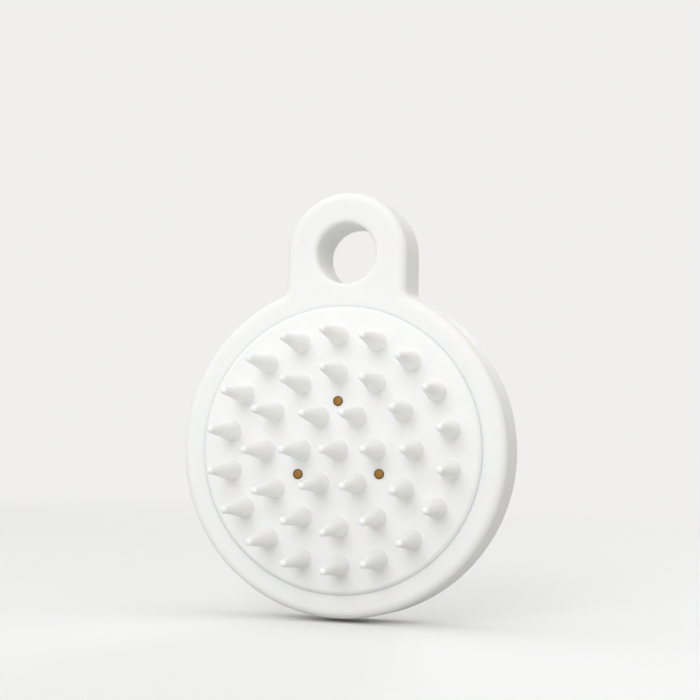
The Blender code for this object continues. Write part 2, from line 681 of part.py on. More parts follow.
def power_button(material):
    """Button on the back: dished face, O-ring groove, flange inside the cup and a post to the switch."""
    groove_radius = oring_line()[0] - ORING_RADIUS - SEAT
    groove_half = ORING_RADIUS + SEAT / 2.0
    groove_back, groove_front = oring_line()[1] - groove_half, oring_line()[1] + groove_half
    flange_back = FLOOR_TOP + SEAT
    face_edge = BUTTON_RADIUS - EDGE_BREAK
    profile = [
        (0.0, BUTTON_RECESS + BUTTON_DISH),
        (face_edge / 2.0, BUTTON_RECESS + BUTTON_DISH * 3.0 / 4.0),
        (face_edge - EDGE_BREAK, BUTTON_RECESS),
        (face_edge, BUTTON_RECESS),
        (BUTTON_RADIUS, BUTTON_RECESS + EDGE_BREAK),
        (BUTTON_RADIUS, groove_back),
        (groove_radius, groove_back),
        (groove_radius, groove_front),
        (BUTTON_RADIUS, groove_front),
        (BUTTON_RADIUS, flange_back),
        (BUTTON_FLANGE_RADIUS, flange_back),
        (BUTTON_FLANGE_RADIUS, flange_back + BUTTON_FLANGE),
        (BUTTON_POST_RADIUS, flange_back + BUTTON_FLANGE),
        (BUTTON_POST_RADIUS, BUTTON_POST_FRONT),
        (0.0, BUTTON_POST_FRONT),
    ]
    return piece("power_button", turned(profile, BUTTON_SIDES), material)


def button_seal(material):
    """O-ring in the button's groove."""
    ring = arc(oring_line(), ORING_RADIUS, 0.0, 2.0 * math.pi, ORING_STEPS)[:-1]
    return piece("button_seal", turned(ring, BUTTON_SIDES), material)


def light_pipe(material):
    """Clear rod that takes the charge light from the board to the back."""
    flange_back = FLOOR_TOP + SEAT
    top = SWITCH_FRONT - LED_SIZE[2] - SEAT
    profile = [
        (0.0, BUTTON_RECESS),
        (PIPE_RADIUS, BUTTON_RECESS),
        (PIPE_RADIUS, flange_back),
        (PIPE_FLANGE_RADIUS, flange_back),
        (PIPE_FLANGE_RADIUS, flange_back + PIPE_FLANGE),
        (PIPE_RADIUS, flange_back + PIPE_FLANGE),
        (PIPE_RADIUS, top),
        (0.0, top),
    ]
    return piece("light_pipe", turned(profile, SMALL_SIDES, (0.0, LED_OFFSET)), material)


def on_board(name, size, place, material):
    """A component on the back of the board."""
    return piece(name, block(size, place, SWITCH_FRONT - size[2], COMPONENT_EDGE), material)


def battery_cell(material):
    """Pouch cell with soft edges and the flat terrace where its tabs come out over the fence."""
    size = (BATTERY_WIDTH, BATTERY_HEIGHT, BATTERY_THICKNESS)
    cell = piece("battery_cell", block(size, (0.0, BATTERY_Y), BATTERY_BACK, BATTERY_ROUND), material)
    low = BATTERY_Y - BATTERY_HEIGHT / 2.0 - BATTERY_TERRACE
    shelf = (BATTERY_WIDTH - 6.0 * BATTERY_ROUND, BATTERY_TERRACE + ROOT, TERRACE_THICKNESS)
    join(cell, block(shelf, (0.0, low + shelf[1] / 2.0), TERRACE_Z - TERRACE_THICKNESS / 2.0))
    return cell


def battery_foam(material):
    """Tape pad between the battery and the cup's floor."""
    size = (BATTERY_WIDTH - 4.0 * BATTERY_ROUND, BATTERY_HEIGHT - 4.0 * BATTERY_ROUND, FOAM_THICKNESS)
    return piece("battery_foam", block(size, (0.0, BATTERY_Y), FOAM_BACK), material)


def lead(name, route, material):
    """An insulated wire along a smooth curve through a few points."""
    curve = bpy.data.curves.new(name, "CURVE")
    curve.dimensions = "3D"
    curve.bevel_depth = LEAD_RADIUS
    curve.bevel_resolution = 1
    curve.use_fill_caps = True
    spots = smooth_route([Vector(point) for point in route])
    spline = curve.splines.new("POLY")
    spline.points.add(len(spots) - 1)
    for point, spot in zip(spline.points, spots):
        point.co = (*spot, 1.0)
    curve.materials.append(material)
    obj = bpy.data.objects.new(name, curve)
    bpy.context.scene.collection.objects.link(obj)
    return obj


def smooth_route(points):
    """Points on a smooth curve through the given ones."""
    ends = [2.0 * points[0] - points[1], *points, 2.0 * points[-1] - points[-2]]
    spots = []
    for a, b, c, d in zip(ends, ends[1:], ends[2:], ends[3:]):
        for step in range(LEAD_STEPS):
            t = step / LEAD_STEPS
            bend = 2.0 * a - 5.0 * b + 4.0 * c - d
            twist = 3.0 * b - a - 3.0 * c + d
            spots.append(0.5 * (2.0 * b + (c - a) * t + bend * t**2 + twist * t**3))
    return spots + [points[-1]]


def battery_leads(materials):
    """Two leads from the battery's terrace to the plug socket on the board."""
    start = BATTERY_Y - BATTERY_HEIGHT / 2.0 - BATTERY_TERRACE - SEAT
    middle, row = connector_place()
    end = row + CONNECTOR_SIZE[1] / 2.0 + SEAT
    low = TERRACE_Z
    high = SWITCH_FRONT - CONNECTOR_SIZE[2] / 2.0
    run = (start - end) / 3.0
    wires = []
    for (pole, material), side in zip(materials.items(), (-0.5, 0.5)):
        x = middle + side * LEAD_PITCH
        route = [(x, start, low), (x, start - run, low), (x, end + run, high), (x, end, high)]
        wires.append(lead("battery_lead_" + pole, route, material))
    return wires


def motor_leads(materials):
    """Two leads from the motor's end cap, bent round side by side to the edge of the board."""
    back = MOTOR_FRONT - MOTOR_LENGTH - SEAT - END_CAP - SEAT
    landing = BOARD_FLAT + BOARD_SCREW_MARGIN
    height = BOARD_BACK - SEAT - LEAD_RADIUS
    turn = (landing - MOTOR_Y) / 2.0
    wires = []
    for (pole, material), side in zip(materials.items(), (-0.5, 0.5)):
        depth, half = LEAD_BULGE + side * LEAD_PITCH, turn + side * LEAD_PITCH
        bend = arc((0.0, 0.0), 1.0, -math.pi / 2.0, -3.0 * math.pi / 2.0, LEAD_TURNS)
        rise = (height - MOTOR_Z) / LEAD_TURNS
        route = []
        for step, (x, y) in enumerate(bend):
            route.append((back + depth * x, MOTOR_Y + turn + half * y, MOTOR_Z + step * rise))
        route.append((back + LEAD_LANDING, route[-1][1], height))
        wires.append(lead("motor_lead_" + pole, route, material))
    return wires


def motor_frame():
    """Turns shapes drawn round z into the motor's place, with its shaft end towards +x of the face."""
    return Matrix.Translation((0.0, MOTOR_Y, MOTOR_Z)) @ Matrix.Rotation(math.pi / 2.0, 4, "Y")


def motor_can(material):
    """Can of the motor, with its front bearing boss and the bore that its shaft runs in."""
    back = MOTOR_FRONT - MOTOR_LENGTH
    bore = SHAFT_RADIUS + RUNNING_GAP
    profile = [
        (0.0, back),
        (MOTOR_RADIUS - EDGE_BREAK, back),
        (MOTOR_RADIUS, back + EDGE_BREAK),
        (MOTOR_RADIUS, MOTOR_FRONT - EDGE_BREAK),
        (MOTOR_RADIUS - EDGE_BREAK, MOTOR_FRONT),
        (MOTOR_BOSS_RADIUS, MOTOR_FRONT),
        (MOTOR_BOSS_RADIUS, MOTOR_FRONT + MOTOR_BOSS),
        (bore, MOTOR_FRONT + MOTOR_BOSS),
        (bore, MOTOR_FRONT - SHAFT_BORE_DEPTH),
        (0.0, MOTOR_FRONT - SHAFT_BORE_DEPTH),
    ]
    return piece("motor_can", turned(profile, BUTTON_SIDES), material)


def motor_end_cap(material):
    """Plastic cap on the back of the motor, where the leads come out."""
    front = MOTOR_FRONT - MOTOR_LENGTH - SEAT
    back = front - END_CAP
    side = MOTOR_RADIUS - EDGE_BREAK
    profile = [
        (0.0, back),
        (side - EDGE_BREAK, back),
        (side, back + EDGE_BREAK),
        (side, front),
        (0.0, front),
    ]
    return piece("motor_end_cap", turned(profile, BUTTON_SIDES), material)


def motor_shaft(material):
    """Shaft that turns in the can's bore and carries the weight."""
    start = MOTOR_FRONT - SHAFT_BORE_DEPTH + RUNNING_GAP
    end = WEIGHT_START + WEIGHT_LENGTH + SHAFT_TIP
    return piece("motor_shaft", rod(SHAFT_RADIUS, start, end, SMALL_SIDES), material)


def eccentric_weight(material):
    """Half-round weight with a hub round the shaft; its heavy side hangs down at rest."""
    start, end = WEIGHT_START, WEIGHT_START + WEIGHT_LENGTH
    half = arc((0.0, 0.0), WEIGHT_RADIUS, math.pi, 2.0 * math.pi, SMALL_SIDES)
    hub = arc((0.0, 0.0), WEIGHT_HUB_RADIUS, 0.0, math.pi, SMALL_SIDES // 2)
    weight = piece("eccentric_weight", prism(half + hub, start, end), material)
    cut(weight, rod(SHAFT_RADIUS + WEIGHT_BORE_GAP, start - CUT_MARGIN, end + CUT_MARGIN, SMALL_SIDES))
    return weight


def clamp_seat():
    """Height of the ears' front face in the face frame, where the screw heads sit."""
    return MOTOR_Z + STRAP + SEAT


def motor_clamp(material):
    """Strap over the motor: a half ring with two ears, screwed to the cup's bosses."""
    inner = MOTOR_RADIUS + SEAT
    ear = STRAP_RADIUS + STRAP_EAR
    rise = math.asin(STRAP / STRAP_RADIUS)
    over = arc((0.0, 0.0), STRAP_RADIUS, rise, math.pi - rise, STRAP_STEPS)
    under = arc((0.0, 0.0), inner, math.pi, 0.0, STRAP_STEPS)
    outline = [(ear, 0.0), (ear, STRAP), *over, (-ear, STRAP), (-ear, 0.0), *under]
    bm = prism(outline, -STRAP_WIDTH / 2.0, STRAP_WIDTH / 2.0)
    bm.transform(Matrix.Translation((0.0, 0.0, MOTOR_MIDDLE)) @ Matrix.Rotation(math.pi / 2.0, 4, "Z"))
    clamp = piece("motor_clamp", bm, material)
    drill = []
    for _, y in clamp_screw_places():
        hole = rod(SCREW_SHANK_RADIUS + SEAT, -STRAP - CUT_MARGIN, CUT_MARGIN, SMALL_SIDES)
        place = Matrix.Translation((0.0, y - MOTOR_Y, MOTOR_MIDDLE))
        hole.transform(place @ Matrix.Rotation(math.pi / 2.0, 4, "Y"))
        drill.append(hole)
    cut(clamp, gather(drill))
    return clamp


def empty(name, parent, matrix):
    """An empty that carries pieces in its own frame."""
    obj = bpy.data.objects.new(name, None)
    bpy.context.scene.collection.objects.link(obj)
    obj.parent = parent
    obj.matrix_local = matrix
    return obj


def build():
    for obj in list(bpy.data.objects):
        bpy.data.objects.remove(obj)

    soft_white = finish("soft_white", (0.90, 0.90, 0.88), 0.55)
    pad_white = finish("pad_white", (0.92, 0.92, 0.90), 0.50)
    button_white = finish("button_white", (0.88, 0.88, 0.86), 0.45)
    gold = finish("contact_gold", (0.42, 0.22, 0.06), 0.35, 1.0)
    core_grey = finish("core_grey", (0.55, 0.56, 0.57), 0.45)
    gasket = finish("gasket_black", (0.03, 0.03, 0.03), 0.60)
    steel = finish("screw_steel", (0.55, 0.55, 0.56), 0.30, 1.0)
    board_green = finish("board_green", (0.02, 0.16, 0.07), 0.40)
    black = finish("component_black", (0.02, 0.02, 0.02), 0.45)
    cream = finish("connector_cream", (0.80, 0.76, 0.62), 0.45)
    clear = finish("light_clear", (0.85, 0.90, 0.92), 0.10)
    pouch = finish("pouch_silver", (0.62, 0.63, 0.65), 0.35, 1.0)
    foam = finish("foam_grey", (0.10, 0.10, 0.11), 0.90)
    poles = {
        "positive": finish("lead_red", (0.45, 0.03, 0.02), 0.45),
        "negative": finish("lead_black", (0.02, 0.02, 0.02), 0.45),
    }
    motor_steel = finish("motor_steel", (0.60, 0.60, 0.62), 0.25, 1.0)
    tungsten = finish("weight_tungsten", (0.30, 0.30, 0.31), 0.40, 1.0)

    on_face = [
        body_skin(soft_white),
        nub_pad(pad_white),
        core_cup(core_grey),
        seal_ring(gasket),
        carrier_plate(core_grey),
        main_board(board_green),
        tact_switch(black),
        switch_plunger(cream),
        power_button(button_white),
        button_seal(gasket),
        light_pipe(clear),
        on_board("status_led", LED_SIZE, (0.0, LED_OFFSET), cream),
        on_board("control_chip", CHIP_SIZE, CHIP_PLACE, black),
        on_board("battery_connector", CONNECTOR_SIZE, connector_place(), cream),
        battery_cell(pouch),
        battery_foam(foam),
    ]
    on_face += battery_leads(poles) + motor_leads(poles)
    on_face += [contact_pin(name, place, gold) for name, place in contact_places().items()]
    plate_seat = PLATE_FRONT - SCREW_HEAD
    on_face += screws("carrier_screw", plate_screw_places(), plate_seat, PLATE_SCREW_LENGTH, 1.0, steel)
    on_face += screws("board_screw", board_screw_places(), BOARD_BACK - SEAT, BOARD_SCREW_LENGTH, -1.0, steel)
    on_face += screws("clamp_screw", clamp_screw_places(), clamp_seat(), CLAMP_SCREW_LENGTH, 1.0, steel)
    on_motor = [
        motor_can(motor_steel),
        motor_end_cap(cream),
        motor_shaft(steel),
        eccentric_weight(tungsten),
        motor_clamp(core_grey),
    ]

    upright = Matrix.Rotation(math.pi / 2.0, 4, "X")
    face_axis = empty("face_axis", None, Matrix.Translation((0.0, BODY_DEPTH / 2.0, -LOOP_HEIGHT)) @ upright)
    motor_axis = empty("motor_axis", face_axis, motor_frame())
    for carrier, pieces in ((face_axis, on_face), (motor_axis, on_motor)):
        for obj in pieces:
            obj.parent = carrier
            if obj.type == "MESH":
                smooth(obj)


build()
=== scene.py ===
# %% [markdown]
# # A shower scalp massager
# The part is a round, soft, white puck that hangs by a thick loop. Its face is a slightly domed pad with
# rings of conical nubs and three small flush contacts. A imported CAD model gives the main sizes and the
# bodies that move. This lesson dresses that model: it makes fine surfaces for what shows, gives each
# piece a finish made of shader nodes, and then sets up a floor, soft light and the camera.

# %% Load the frame
import math

import bmesh
import bpy
import numpy as np
from mathutils import Matrix, Vector
from mathutils.geometry import delaunay_2d_cdt


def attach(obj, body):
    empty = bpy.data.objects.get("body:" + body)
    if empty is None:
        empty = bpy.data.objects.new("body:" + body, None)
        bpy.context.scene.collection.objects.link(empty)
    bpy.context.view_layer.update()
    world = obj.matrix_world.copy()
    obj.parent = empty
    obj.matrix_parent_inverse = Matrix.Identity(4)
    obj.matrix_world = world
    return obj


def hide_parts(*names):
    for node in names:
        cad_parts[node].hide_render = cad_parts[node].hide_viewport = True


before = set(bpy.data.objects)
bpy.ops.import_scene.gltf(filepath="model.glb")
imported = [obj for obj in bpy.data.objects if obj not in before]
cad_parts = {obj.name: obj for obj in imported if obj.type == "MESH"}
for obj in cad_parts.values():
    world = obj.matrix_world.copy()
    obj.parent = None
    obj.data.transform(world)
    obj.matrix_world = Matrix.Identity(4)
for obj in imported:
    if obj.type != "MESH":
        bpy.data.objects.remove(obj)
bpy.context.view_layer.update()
print("nodes:", len(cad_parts))

# %% [markdown]
# ## The face frame
# The massager is easiest to think of lying on its back: x to the right, y up towards the loop and z out
# of the face, with zero on the flat back. One matrix then stands that frame upright, with the origin in
# the hanging hole, which is where the CAD model has it. The sizes of the forms follow where they are
# first used.

# %% The upright matrix
BODY_DEPTH = 0.0155
LOOP_HEIGHT = 0.0467
STAND_UP = Matrix.Rotation(math.pi / 2.0, 4, "X")
UPRIGHT = Matrix.Translation((0.0, BODY_DEPTH / 2.0, -LOOP_HEIGHT)) @ STAND_UP
print("the rim's middle is at", [round(v, 4) for v in UPRIGHT @ Vector((0.0, 0.0, BODY_DEPTH))])

# %% [markdown]
# ## Rings, bridges and flat fills
# Nearly everything here is moulded or turned, so three tools are enough. A ring is a closed loop of
# points. A bridge joins two equal rings with four-sided faces. A flat fill closes the space between an
# outer ring and any holes in it. A Boolean would leave slivers and bad shading there, so the fill is a
# Delaunay triangulation that keeps the rings' own points, and the finished skin comes out as one closed
# mesh.


# %% Rings and bridges
def ring(bm, points):
    """A closed loop of new points."""
    return [bm.verts.new(point) for point in points]


def circle(radius, height, sides, centre=(0.0, 0.0)):
    """Points of a level circle."""
    angles = [2.0 * math.pi * step / sides for step in range(sides)]
    return [(centre[0] + radius * math.cos(a), centre[1] + radius * math.sin(a), height) for a in angles]


def bridge(bm, loops):
    """Four-sided faces between each loop and the next."""
    for lower, upper in zip(loops, loops[1:]):
        for index in range(len(lower)):
            after = (index + 1) % len(lower)
            bm.faces.new((lower[index], lower[after], upper[after], upper[index]))


def close_tip(bm, loop, point):
    """A fan of triangles from a loop to a point."""
    tip = bm.verts.new(point)
    for index in range(len(loop)):
        bm.faces.new((loop[index], loop[(index + 1) % len(loop)], tip))


def turned_loops(bm, profile, sides, centre=(0.0, 0.0)):
    """Bridged circles along a profile of radii and heights."""
    loops = [ring(bm, circle(radius, height, sides, centre)) for radius, height in profile]
    bridge(bm, loops)
    return loops


print("a circle of 8 sides has", len(circle(1.0, 0.0, 8)), "points")

# %% Flat fill
FILL_SCALE = 1000.0
FILL_MERGE = 1e-6


def odd_inside(centres, loops):
    """Which points lie inside the outer loop and outside the holes, by counting crossings."""
    inside = np.zeros(len(centres), bool)
    x, y = centres[:, 0], centres[:, 1]
    for loop in loops:
        for (ax, ay), (bx, by) in zip(loop, loop[1:] + loop[:1]):
            if ay == by:
                continue
            crosses = (y < ay) != (y < by)
            inside ^= crosses & (x < ax + (bx - ax) * (y - ay) / (by - ay))
    return inside


def flat_fill(bm, loops, height, extra=()):
    """Triangles between an outer loop and the holes in it, over extra points as well."""
    rim = [vert for loop in loops for vert in loop]
    flat = [[(FILL_SCALE * v.co.x, FILL_SCALE * v.co.y) for v in loop] for loop in loops]
    spots = [Vector(point) for loop in flat for point in loop]
    spots += [Vector((FILL_SCALE * x, FILL_SCALE * y)) for x, y in extra]
    edges = []
    start = 0
    for loop in loops:
        count = len(loop)
        edges += [(start + step, start + (step + 1) % count) for step in range(count)]
        start += count
    points, _, faces, sources, _, _ = delaunay_2d_cdt(spots, edges, [], 0, FILL_MERGE)
    verts = []
    for point, source in zip(points, sources):
        if source and source[0] < len(rim):
            verts.append(rim[source[0]])
        else:
            x, y = point.x / FILL_SCALE, point.y / FILL_SCALE
            verts.append(bm.verts.new((x, y, height(x, y))))
    centres = np.array([sum((points[i] for i in face), Vector((0.0, 0.0))) / len(face) for face in faces])
    for face, kept in zip(faces, odd_inside(centres, flat)):
        if kept:
            bm.faces.new([verts[i] for i in face])
    for vert in [v for v in bm.verts if not v.link_faces and v not in rim]:
        bm.verts.remove(vert)


square = [(-1.0, -1.0), (1.0, -1.0), (1.0, 1.0), (-1.0, 1.0)]
print("in a square, and beside it:", odd_inside(np.array([(0.0, 0.0), (2.0, 0.0)]), [square]))

# %% [markdown]
# ## Setting a piece in its place
# Every finished mesh goes through one helper. It turns the faces outwards, counts the open edges (a
# closed mesh has none), stands the mesh upright and shades it smooth. A weighted-normal modifier keeps
# flat faces flat next to narrow rounds. The piece then rides on its CAD body and takes the place of its
# CAD node.

# %% Set a piece in its place
NORMAL_WEIGHT = 90


def add_object(name, data):
    """A new object, linked into the scene."""
    obj = bpy.data.objects.new(name, data)
    bpy.context.scene.collection.objects.link(obj)
    return obj


def piece(name, bm, material, body, nodes):
    """Stand a mesh upright, shade it smooth, dress it and set it on its CAD body."""
    bmesh.ops.recalc_face_normals(bm, faces=bm.faces)
    loose = sum(1 for edge in bm.edges if len(edge.link_faces) != 2)
    bm.transform(UPRIGHT)
    mesh = bpy.data.meshes.new(name)
    bm.to_mesh(mesh)
    bm.free()
    mesh.shade_smooth()
    mesh.materials.append(material)
    obj = add_object(name, mesh)
    modifier = obj.modifiers.new("face_weight", "WEIGHTED_NORMAL")
    modifier.weight = NORMAL_WEIGHT
    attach(obj, body)
    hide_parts(*nodes)
    print(name, len(mesh.polygons), "faces,", loose, "open edges")


# %% [markdown]
# ## Building blocks for finishes
# A finish is a small tree of shader nodes that ends in one shader. Painted textures would need a flat map
# of every surface. Noise needs only the object's own coordinates, so the finishes here are made from
# noise. The first helpers start a material, set inputs and link nodes. The others each add one node, and
# the finishes below are put together from them.


# %% Materials, inputs and links
def new_finish(name):
    """A new material with its node tree, its shader and the object's own coordinates."""
    material = bpy.data.materials.new(name)
    material.use_nodes = True
    tree = material.node_tree
    place = tree.nodes.new("ShaderNodeTexCoord")
    return material, tree, tree.nodes["Principled BSDF"], place.outputs["Object"]


def set_inputs(node, values):
    """Set some inputs of a node by their names."""
    for socket, value in values.items():
        node.inputs[socket].default_value = value


def feed(tree, node, sources):
    """Link some inputs of a node, by their names, to other nodes' outputs."""
    for socket, source in sources.items():
        tree.links.new(source, node.inputs[socket])


print("materials so far:", len(bpy.data.materials))


# %% Noise, colours, ranges and relief
def noise(tree, place, scale, detail=2.0):
    """Noise of a given scale over some coordinates."""
    node = tree.nodes.new("ShaderNodeTexNoise")
    set_inputs(node, {"Scale": scale, "Detail": detail})
    feed(tree, node, {"Vector": place})
    return node.outputs["Fac"]


def ramp(tree, value, dark, pale, low=0.0, high=1.0):
    """A colour that goes from dark at a low value to pale at a high one."""
    node = tree.nodes.new("ShaderNodeValToRGB")
    for element, position, colour in zip(node.color_ramp.elements, (low, high), (dark, pale)):
        element.position = position
        element.color = (*colour, 1.0)
    feed(tree, node, {"Fac": value})
    return node.outputs["Color"]


def map_range(tree, value, limits):
    """A value carried over from one range to another."""
    node = tree.nodes.new("ShaderNodeMapRange")
    set_inputs(node, limits)
    feed(tree, node, {"Value": value})
    return node.outputs["Result"]


def bump(tree, height, strength, distance):
    """Relief from a height; returns the node, so that a second bump can follow it."""
    node = tree.nodes.new("ShaderNodeBump")
    set_inputs(node, {"Strength": strength, "Distance": distance})
    feed(tree, node, {"Height": height})
    return node


print("node helpers:", [helper.__name__ for helper in (noise, ramp, map_range, bump)])

# %% [markdown]
# ## White silicone
# The body and the pad are soft moulded silicone: nearly white, a little warm and matt rather than glossy.
# There is a very fine grain from the mould, and a little light passes under the surface. A flat white
# would look like paint. Here slow noise moves the colour by a hair, a finer noise breaks up the
# roughness, and two bumps give the grain. What is the same all over, such as the subsurface weight, is
# set on the shader itself.

# %% Silicone finish
CLOUD_SCALE = 45.0
CLOUD_DETAIL = 4.0
SMUDGE_SCALE = 160.0
SMUDGE_DETAIL = 3.0
GRAIN_SCALE = 3200.0
WAVE_SCALE = 220.0
NOISE_LOW = 0.3
NOISE_HIGH = 0.7
SMUDGE_DEPTH = 0.05
GRAIN_STRENGTH = 0.10
WAVE_STRENGTH = 0.06
WAVE_DEPTH = 4.0
SILICONE_DEPTH = {
    "Subsurface Weight": 0.40,
    "Subsurface Radius": (1.0, 0.85, 0.65),
    "Subsurface Scale": 0.0014,
    "Specular IOR Level": 0.14,
}


def silicone(name, pale, shade, roughness, grain):
    """Soft moulded silicone from two close colours, with a fine grain of a given depth."""
    material, tree, shader, place = new_finish(name)
    cloud = noise(tree, place, CLOUD_SCALE, CLOUD_DETAIL)
    tint = ramp(tree, cloud, shade, pale, NOISE_LOW, NOISE_HIGH)
    limits = {
        "From Min": NOISE_LOW,
        "From Max": NOISE_HIGH,
        "To Min": roughness - SMUDGE_DEPTH,
        "To Max": roughness + SMUDGE_DEPTH,
    }
    matt = map_range(tree, noise(tree, place, SMUDGE_SCALE, SMUDGE_DETAIL), limits)
    slow_skin = bump(tree, noise(tree, place, WAVE_SCALE), WAVE_STRENGTH, WAVE_DEPTH * grain)
    rough_skin = bump(tree, noise(tree, place, GRAIN_SCALE), GRAIN_STRENGTH, grain)
    feed(tree, rough_skin, {"Normal": slow_skin.outputs["Normal"]})
    feed(tree, shader, {"Base Color": tint, "Roughness": matt, "Normal": rough_skin.outputs["Normal"]})
    set_inputs(shader, SILICONE_DEPTH)
    return material


body_silicone = silicone("body_silicone", (0.942, 0.941, 0.929), (0.927, 0.926, 0.911), 0.60, 0.00003)
pad_silicone = silicone("pad_silicone", (0.955, 0.954, 0.946), (0.94, 0.939, 0.928), 0.60, 0.00002)
print("silicone finishes:", body_silicone.name, pad_silicone.name)

# %% [markdown]
# ## The soft body
# Seen from the front the body is a keyhole: a disc, a loop with straight sides, and two small fillets in
# the neck. Drawing the outline in by any distance keeps all four arcs concentric, so one function gives
# every level of the wall. The back edge has a wide round, the wall a slight draft, and the rim a softer
# round towards the face. The holes get rounded edges too, because silicone has no sharp ones.

# %% Keyhole outline
BODY_RADIUS = 0.0400
LOOP_RADIUS = 0.0151
NECK_FILLET = 0.0020
FILLET_STEPS = 10
DISC_STEPS = 168
LOOP_STEPS = 64
SIDE_STEPS = 4


def arc(centre, radius, start, end, steps):
    """Points along an arc, both ends included."""
    turns = [start + (end - start) * step / steps for step in range(steps + 1)]
    return [(centre[0] + radius * math.cos(t), centre[1] + radius * math.sin(t)) for t in turns]


def keyhole(inset, height):
    """The outline of disc, neck and loop, drawn in by a distance."""
    side = LOOP_RADIUS + NECK_FILLET
    neck = math.sqrt((BODY_RADIUS + NECK_FILLET) ** 2 - side**2)
    lean = math.atan2(neck, side)
    fillet = NECK_FILLET + inset
    loop = LOOP_RADIUS - inset
    right = arc((side, neck), fillet, math.pi, math.pi + lean, FILLET_STEPS)
    disc = arc((0.0, 0.0), BODY_RADIUS - inset, lean, -math.pi - lean, DISC_STEPS)
    left = arc((-side, neck), fillet, -lean, 0.0, FILLET_STEPS)
    top = arc((0.0, LOOP_HEIGHT), loop, math.pi, 0.0, LOOP_STEPS)
    rise = [neck + (LOOP_HEIGHT - neck) * step / SIDE_STEPS for step in range(1, SIDE_STEPS)]
    left_side = [(-loop, y) for y in rise]
    right_side = [(loop, y) for y in reversed(rise)]
    outline = right + disc[1:-1] + left + left_side + top + right_side
    return [(x, y, height) for x, y in outline]


print("points of the outline:", len(keyhole(0.0, 0.0)))

# %% Wall levels and rounded holes
FRONT_ROUND = 0.0022
BACK_ROUND = 0.0035
WALL_DRAFT = 0.0004
ROUND_STEPS = 10
DRAFT_STEPS = 5
MOUTH_STEPS = 6


def quarter(steps):
    """Angles from nought to a quarter turn, both included."""
    return [math.pi / 2.0 * step / steps for step in range(steps + 1)]


def wall_levels():
    """Pairs of inset and height from the back face round the wall to the front face."""
    turns = quarter(ROUND_STEPS)
    back = [(BACK_ROUND * (1.0 - math.sin(t)), BACK_ROUND * (1.0 - math.cos(t))) for t in turns]
    front_start = BODY_DEPTH - FRONT_ROUND
    rise = front_start - BACK_ROUND
    straight = [
        (WALL_DRAFT * step / DRAFT_STEPS, BACK_ROUND + rise * step / DRAFT_STEPS)
        for step in range(1, DRAFT_STEPS)
    ]
    front = [
        (WALL_DRAFT + FRONT_ROUND * (1.0 - math.cos(t)), front_start + FRONT_ROUND * math.sin(t))
        for t in turns
    ]
    return back + straight + front


def hole_mouth(radius, face, edge, inward):
    """Radius and height of a rounded hole edge, from the face inwards; inward is +1 or -1 along z."""
    return [
        (radius + edge * (1.0 - math.sin(t)), face + inward * edge * (1.0 - math.cos(t)))
        for t in quarter(MOUTH_STEPS)
    ]


print("wall levels:", len(wall_levels()))

# %% Build the soft body
BACK_WALL = 0.0016
LIP_BACK = 0.0136
LIP_ROUND = 0.00002
ROOM_RADIUS = 0.0363
OPENING_RADIUS = 0.0340
OPENING_SIDES = 192
HOLE_RADIUS = 0.0072
HOLE_ROUND = 0.0012
HOLE_SIDES = 96
BUTTON_HOLE = 0.0050
BUTTON_SIDES = 72
PIPE_HOLE = 0.0012
PIPE_PLACE = (0.0, 0.0090)
PIPE_SIDES = 36
BACK_HOLE_ROUND = 0.0004


def soft_body():
    """The skin: keyhole wall, inner room, hanging hole, and holes for the button and the light."""
    bm = bmesh.new()
    wall = [ring(bm, keyhole(inset, height)) for inset, height in wall_levels()]
    bridge(bm, wall)
    room = hole_mouth(OPENING_RADIUS, BODY_DEPTH, LIP_ROUND, -1.0)
    room += [(OPENING_RADIUS, LIP_BACK), (ROOM_RADIUS, LIP_BACK), (ROOM_RADIUS, BACK_WALL)]
    opening = turned_loops(bm, room, OPENING_SIDES)
    through = hole_mouth(HOLE_RADIUS, BODY_DEPTH, HOLE_ROUND, -1.0)
    through += reversed(hole_mouth(HOLE_RADIUS, 0.0, HOLE_ROUND, 1.0))
    hang = turned_loops(bm, through, HOLE_SIDES, (0.0, LOOP_HEIGHT))
    mouth = reversed(hole_mouth(BUTTON_HOLE, 0.0, BACK_HOLE_ROUND, 1.0))
    button = turned_loops(bm, [(BUTTON_HOLE, BACK_WALL), *mouth], BUTTON_SIDES)
    mouth = reversed(hole_mouth(PIPE_HOLE, 0.0, BACK_HOLE_ROUND, 1.0))
    pipe = turned_loops(bm, [(PIPE_HOLE, BACK_WALL), *mouth], PIPE_SIDES, PIPE_PLACE)
    flat_fill(bm, [wall[-1], opening[0], hang[0]], lambda x, y: BODY_DEPTH)
    flat_fill(bm, [wall[0], hang[-1], button[-1], pipe[-1]], lambda x, y: 0.0)
    flat_fill(bm, [opening[-1], button[0], pipe[0]], lambda x, y: BACK_WALL)
    return bm


piece("soft_body", soft_body(), body_silicone, "massager", ["body_skin"])

# %% [markdown]
# ## The pad's dome and pattern
# The pad is one moulding: a shallow dome with a nub on every place of a ring pattern, six more on each
# ring than on the one inside it, and three contacts in between. A slice of a ball would meet the rim at
# an angle. A cosine wave is as simple, and it is level in the middle and again at the edge.

# %% Dome and ring pattern
PAD_RADIUS = 0.0337
PAD_CROWN = 0.0020
PAD_STEP = 0.00083
PAD_TURN = 1.8
NUB_PITCH = 0.0090
RING_GROWTH = 6
RING_STARTS = {1: 0.0, 2: 0.0, 3: 90.0}
CONTACT_RADIUS = 0.0114
CONTACT_ANGLES = {"top": 90.0, "left": 210.0, "right": 330.0}


def polar(radius, degrees):
    """A place on the pad, from its distance to the middle and its angle."""
    return radius * math.cos(math.radians(degrees)), radius * math.sin(math.radians(degrees))


def dome(x, y):
    """Height of the pad's face, which swells like a cosine wave and levels out again at its edge."""
    swell = 1.0 + math.cos(math.pi * math.hypot(x, y) / PAD_RADIUS)
    return BODY_DEPTH + PAD_STEP + (PAD_CROWN - PAD_STEP) * swell / 2.0


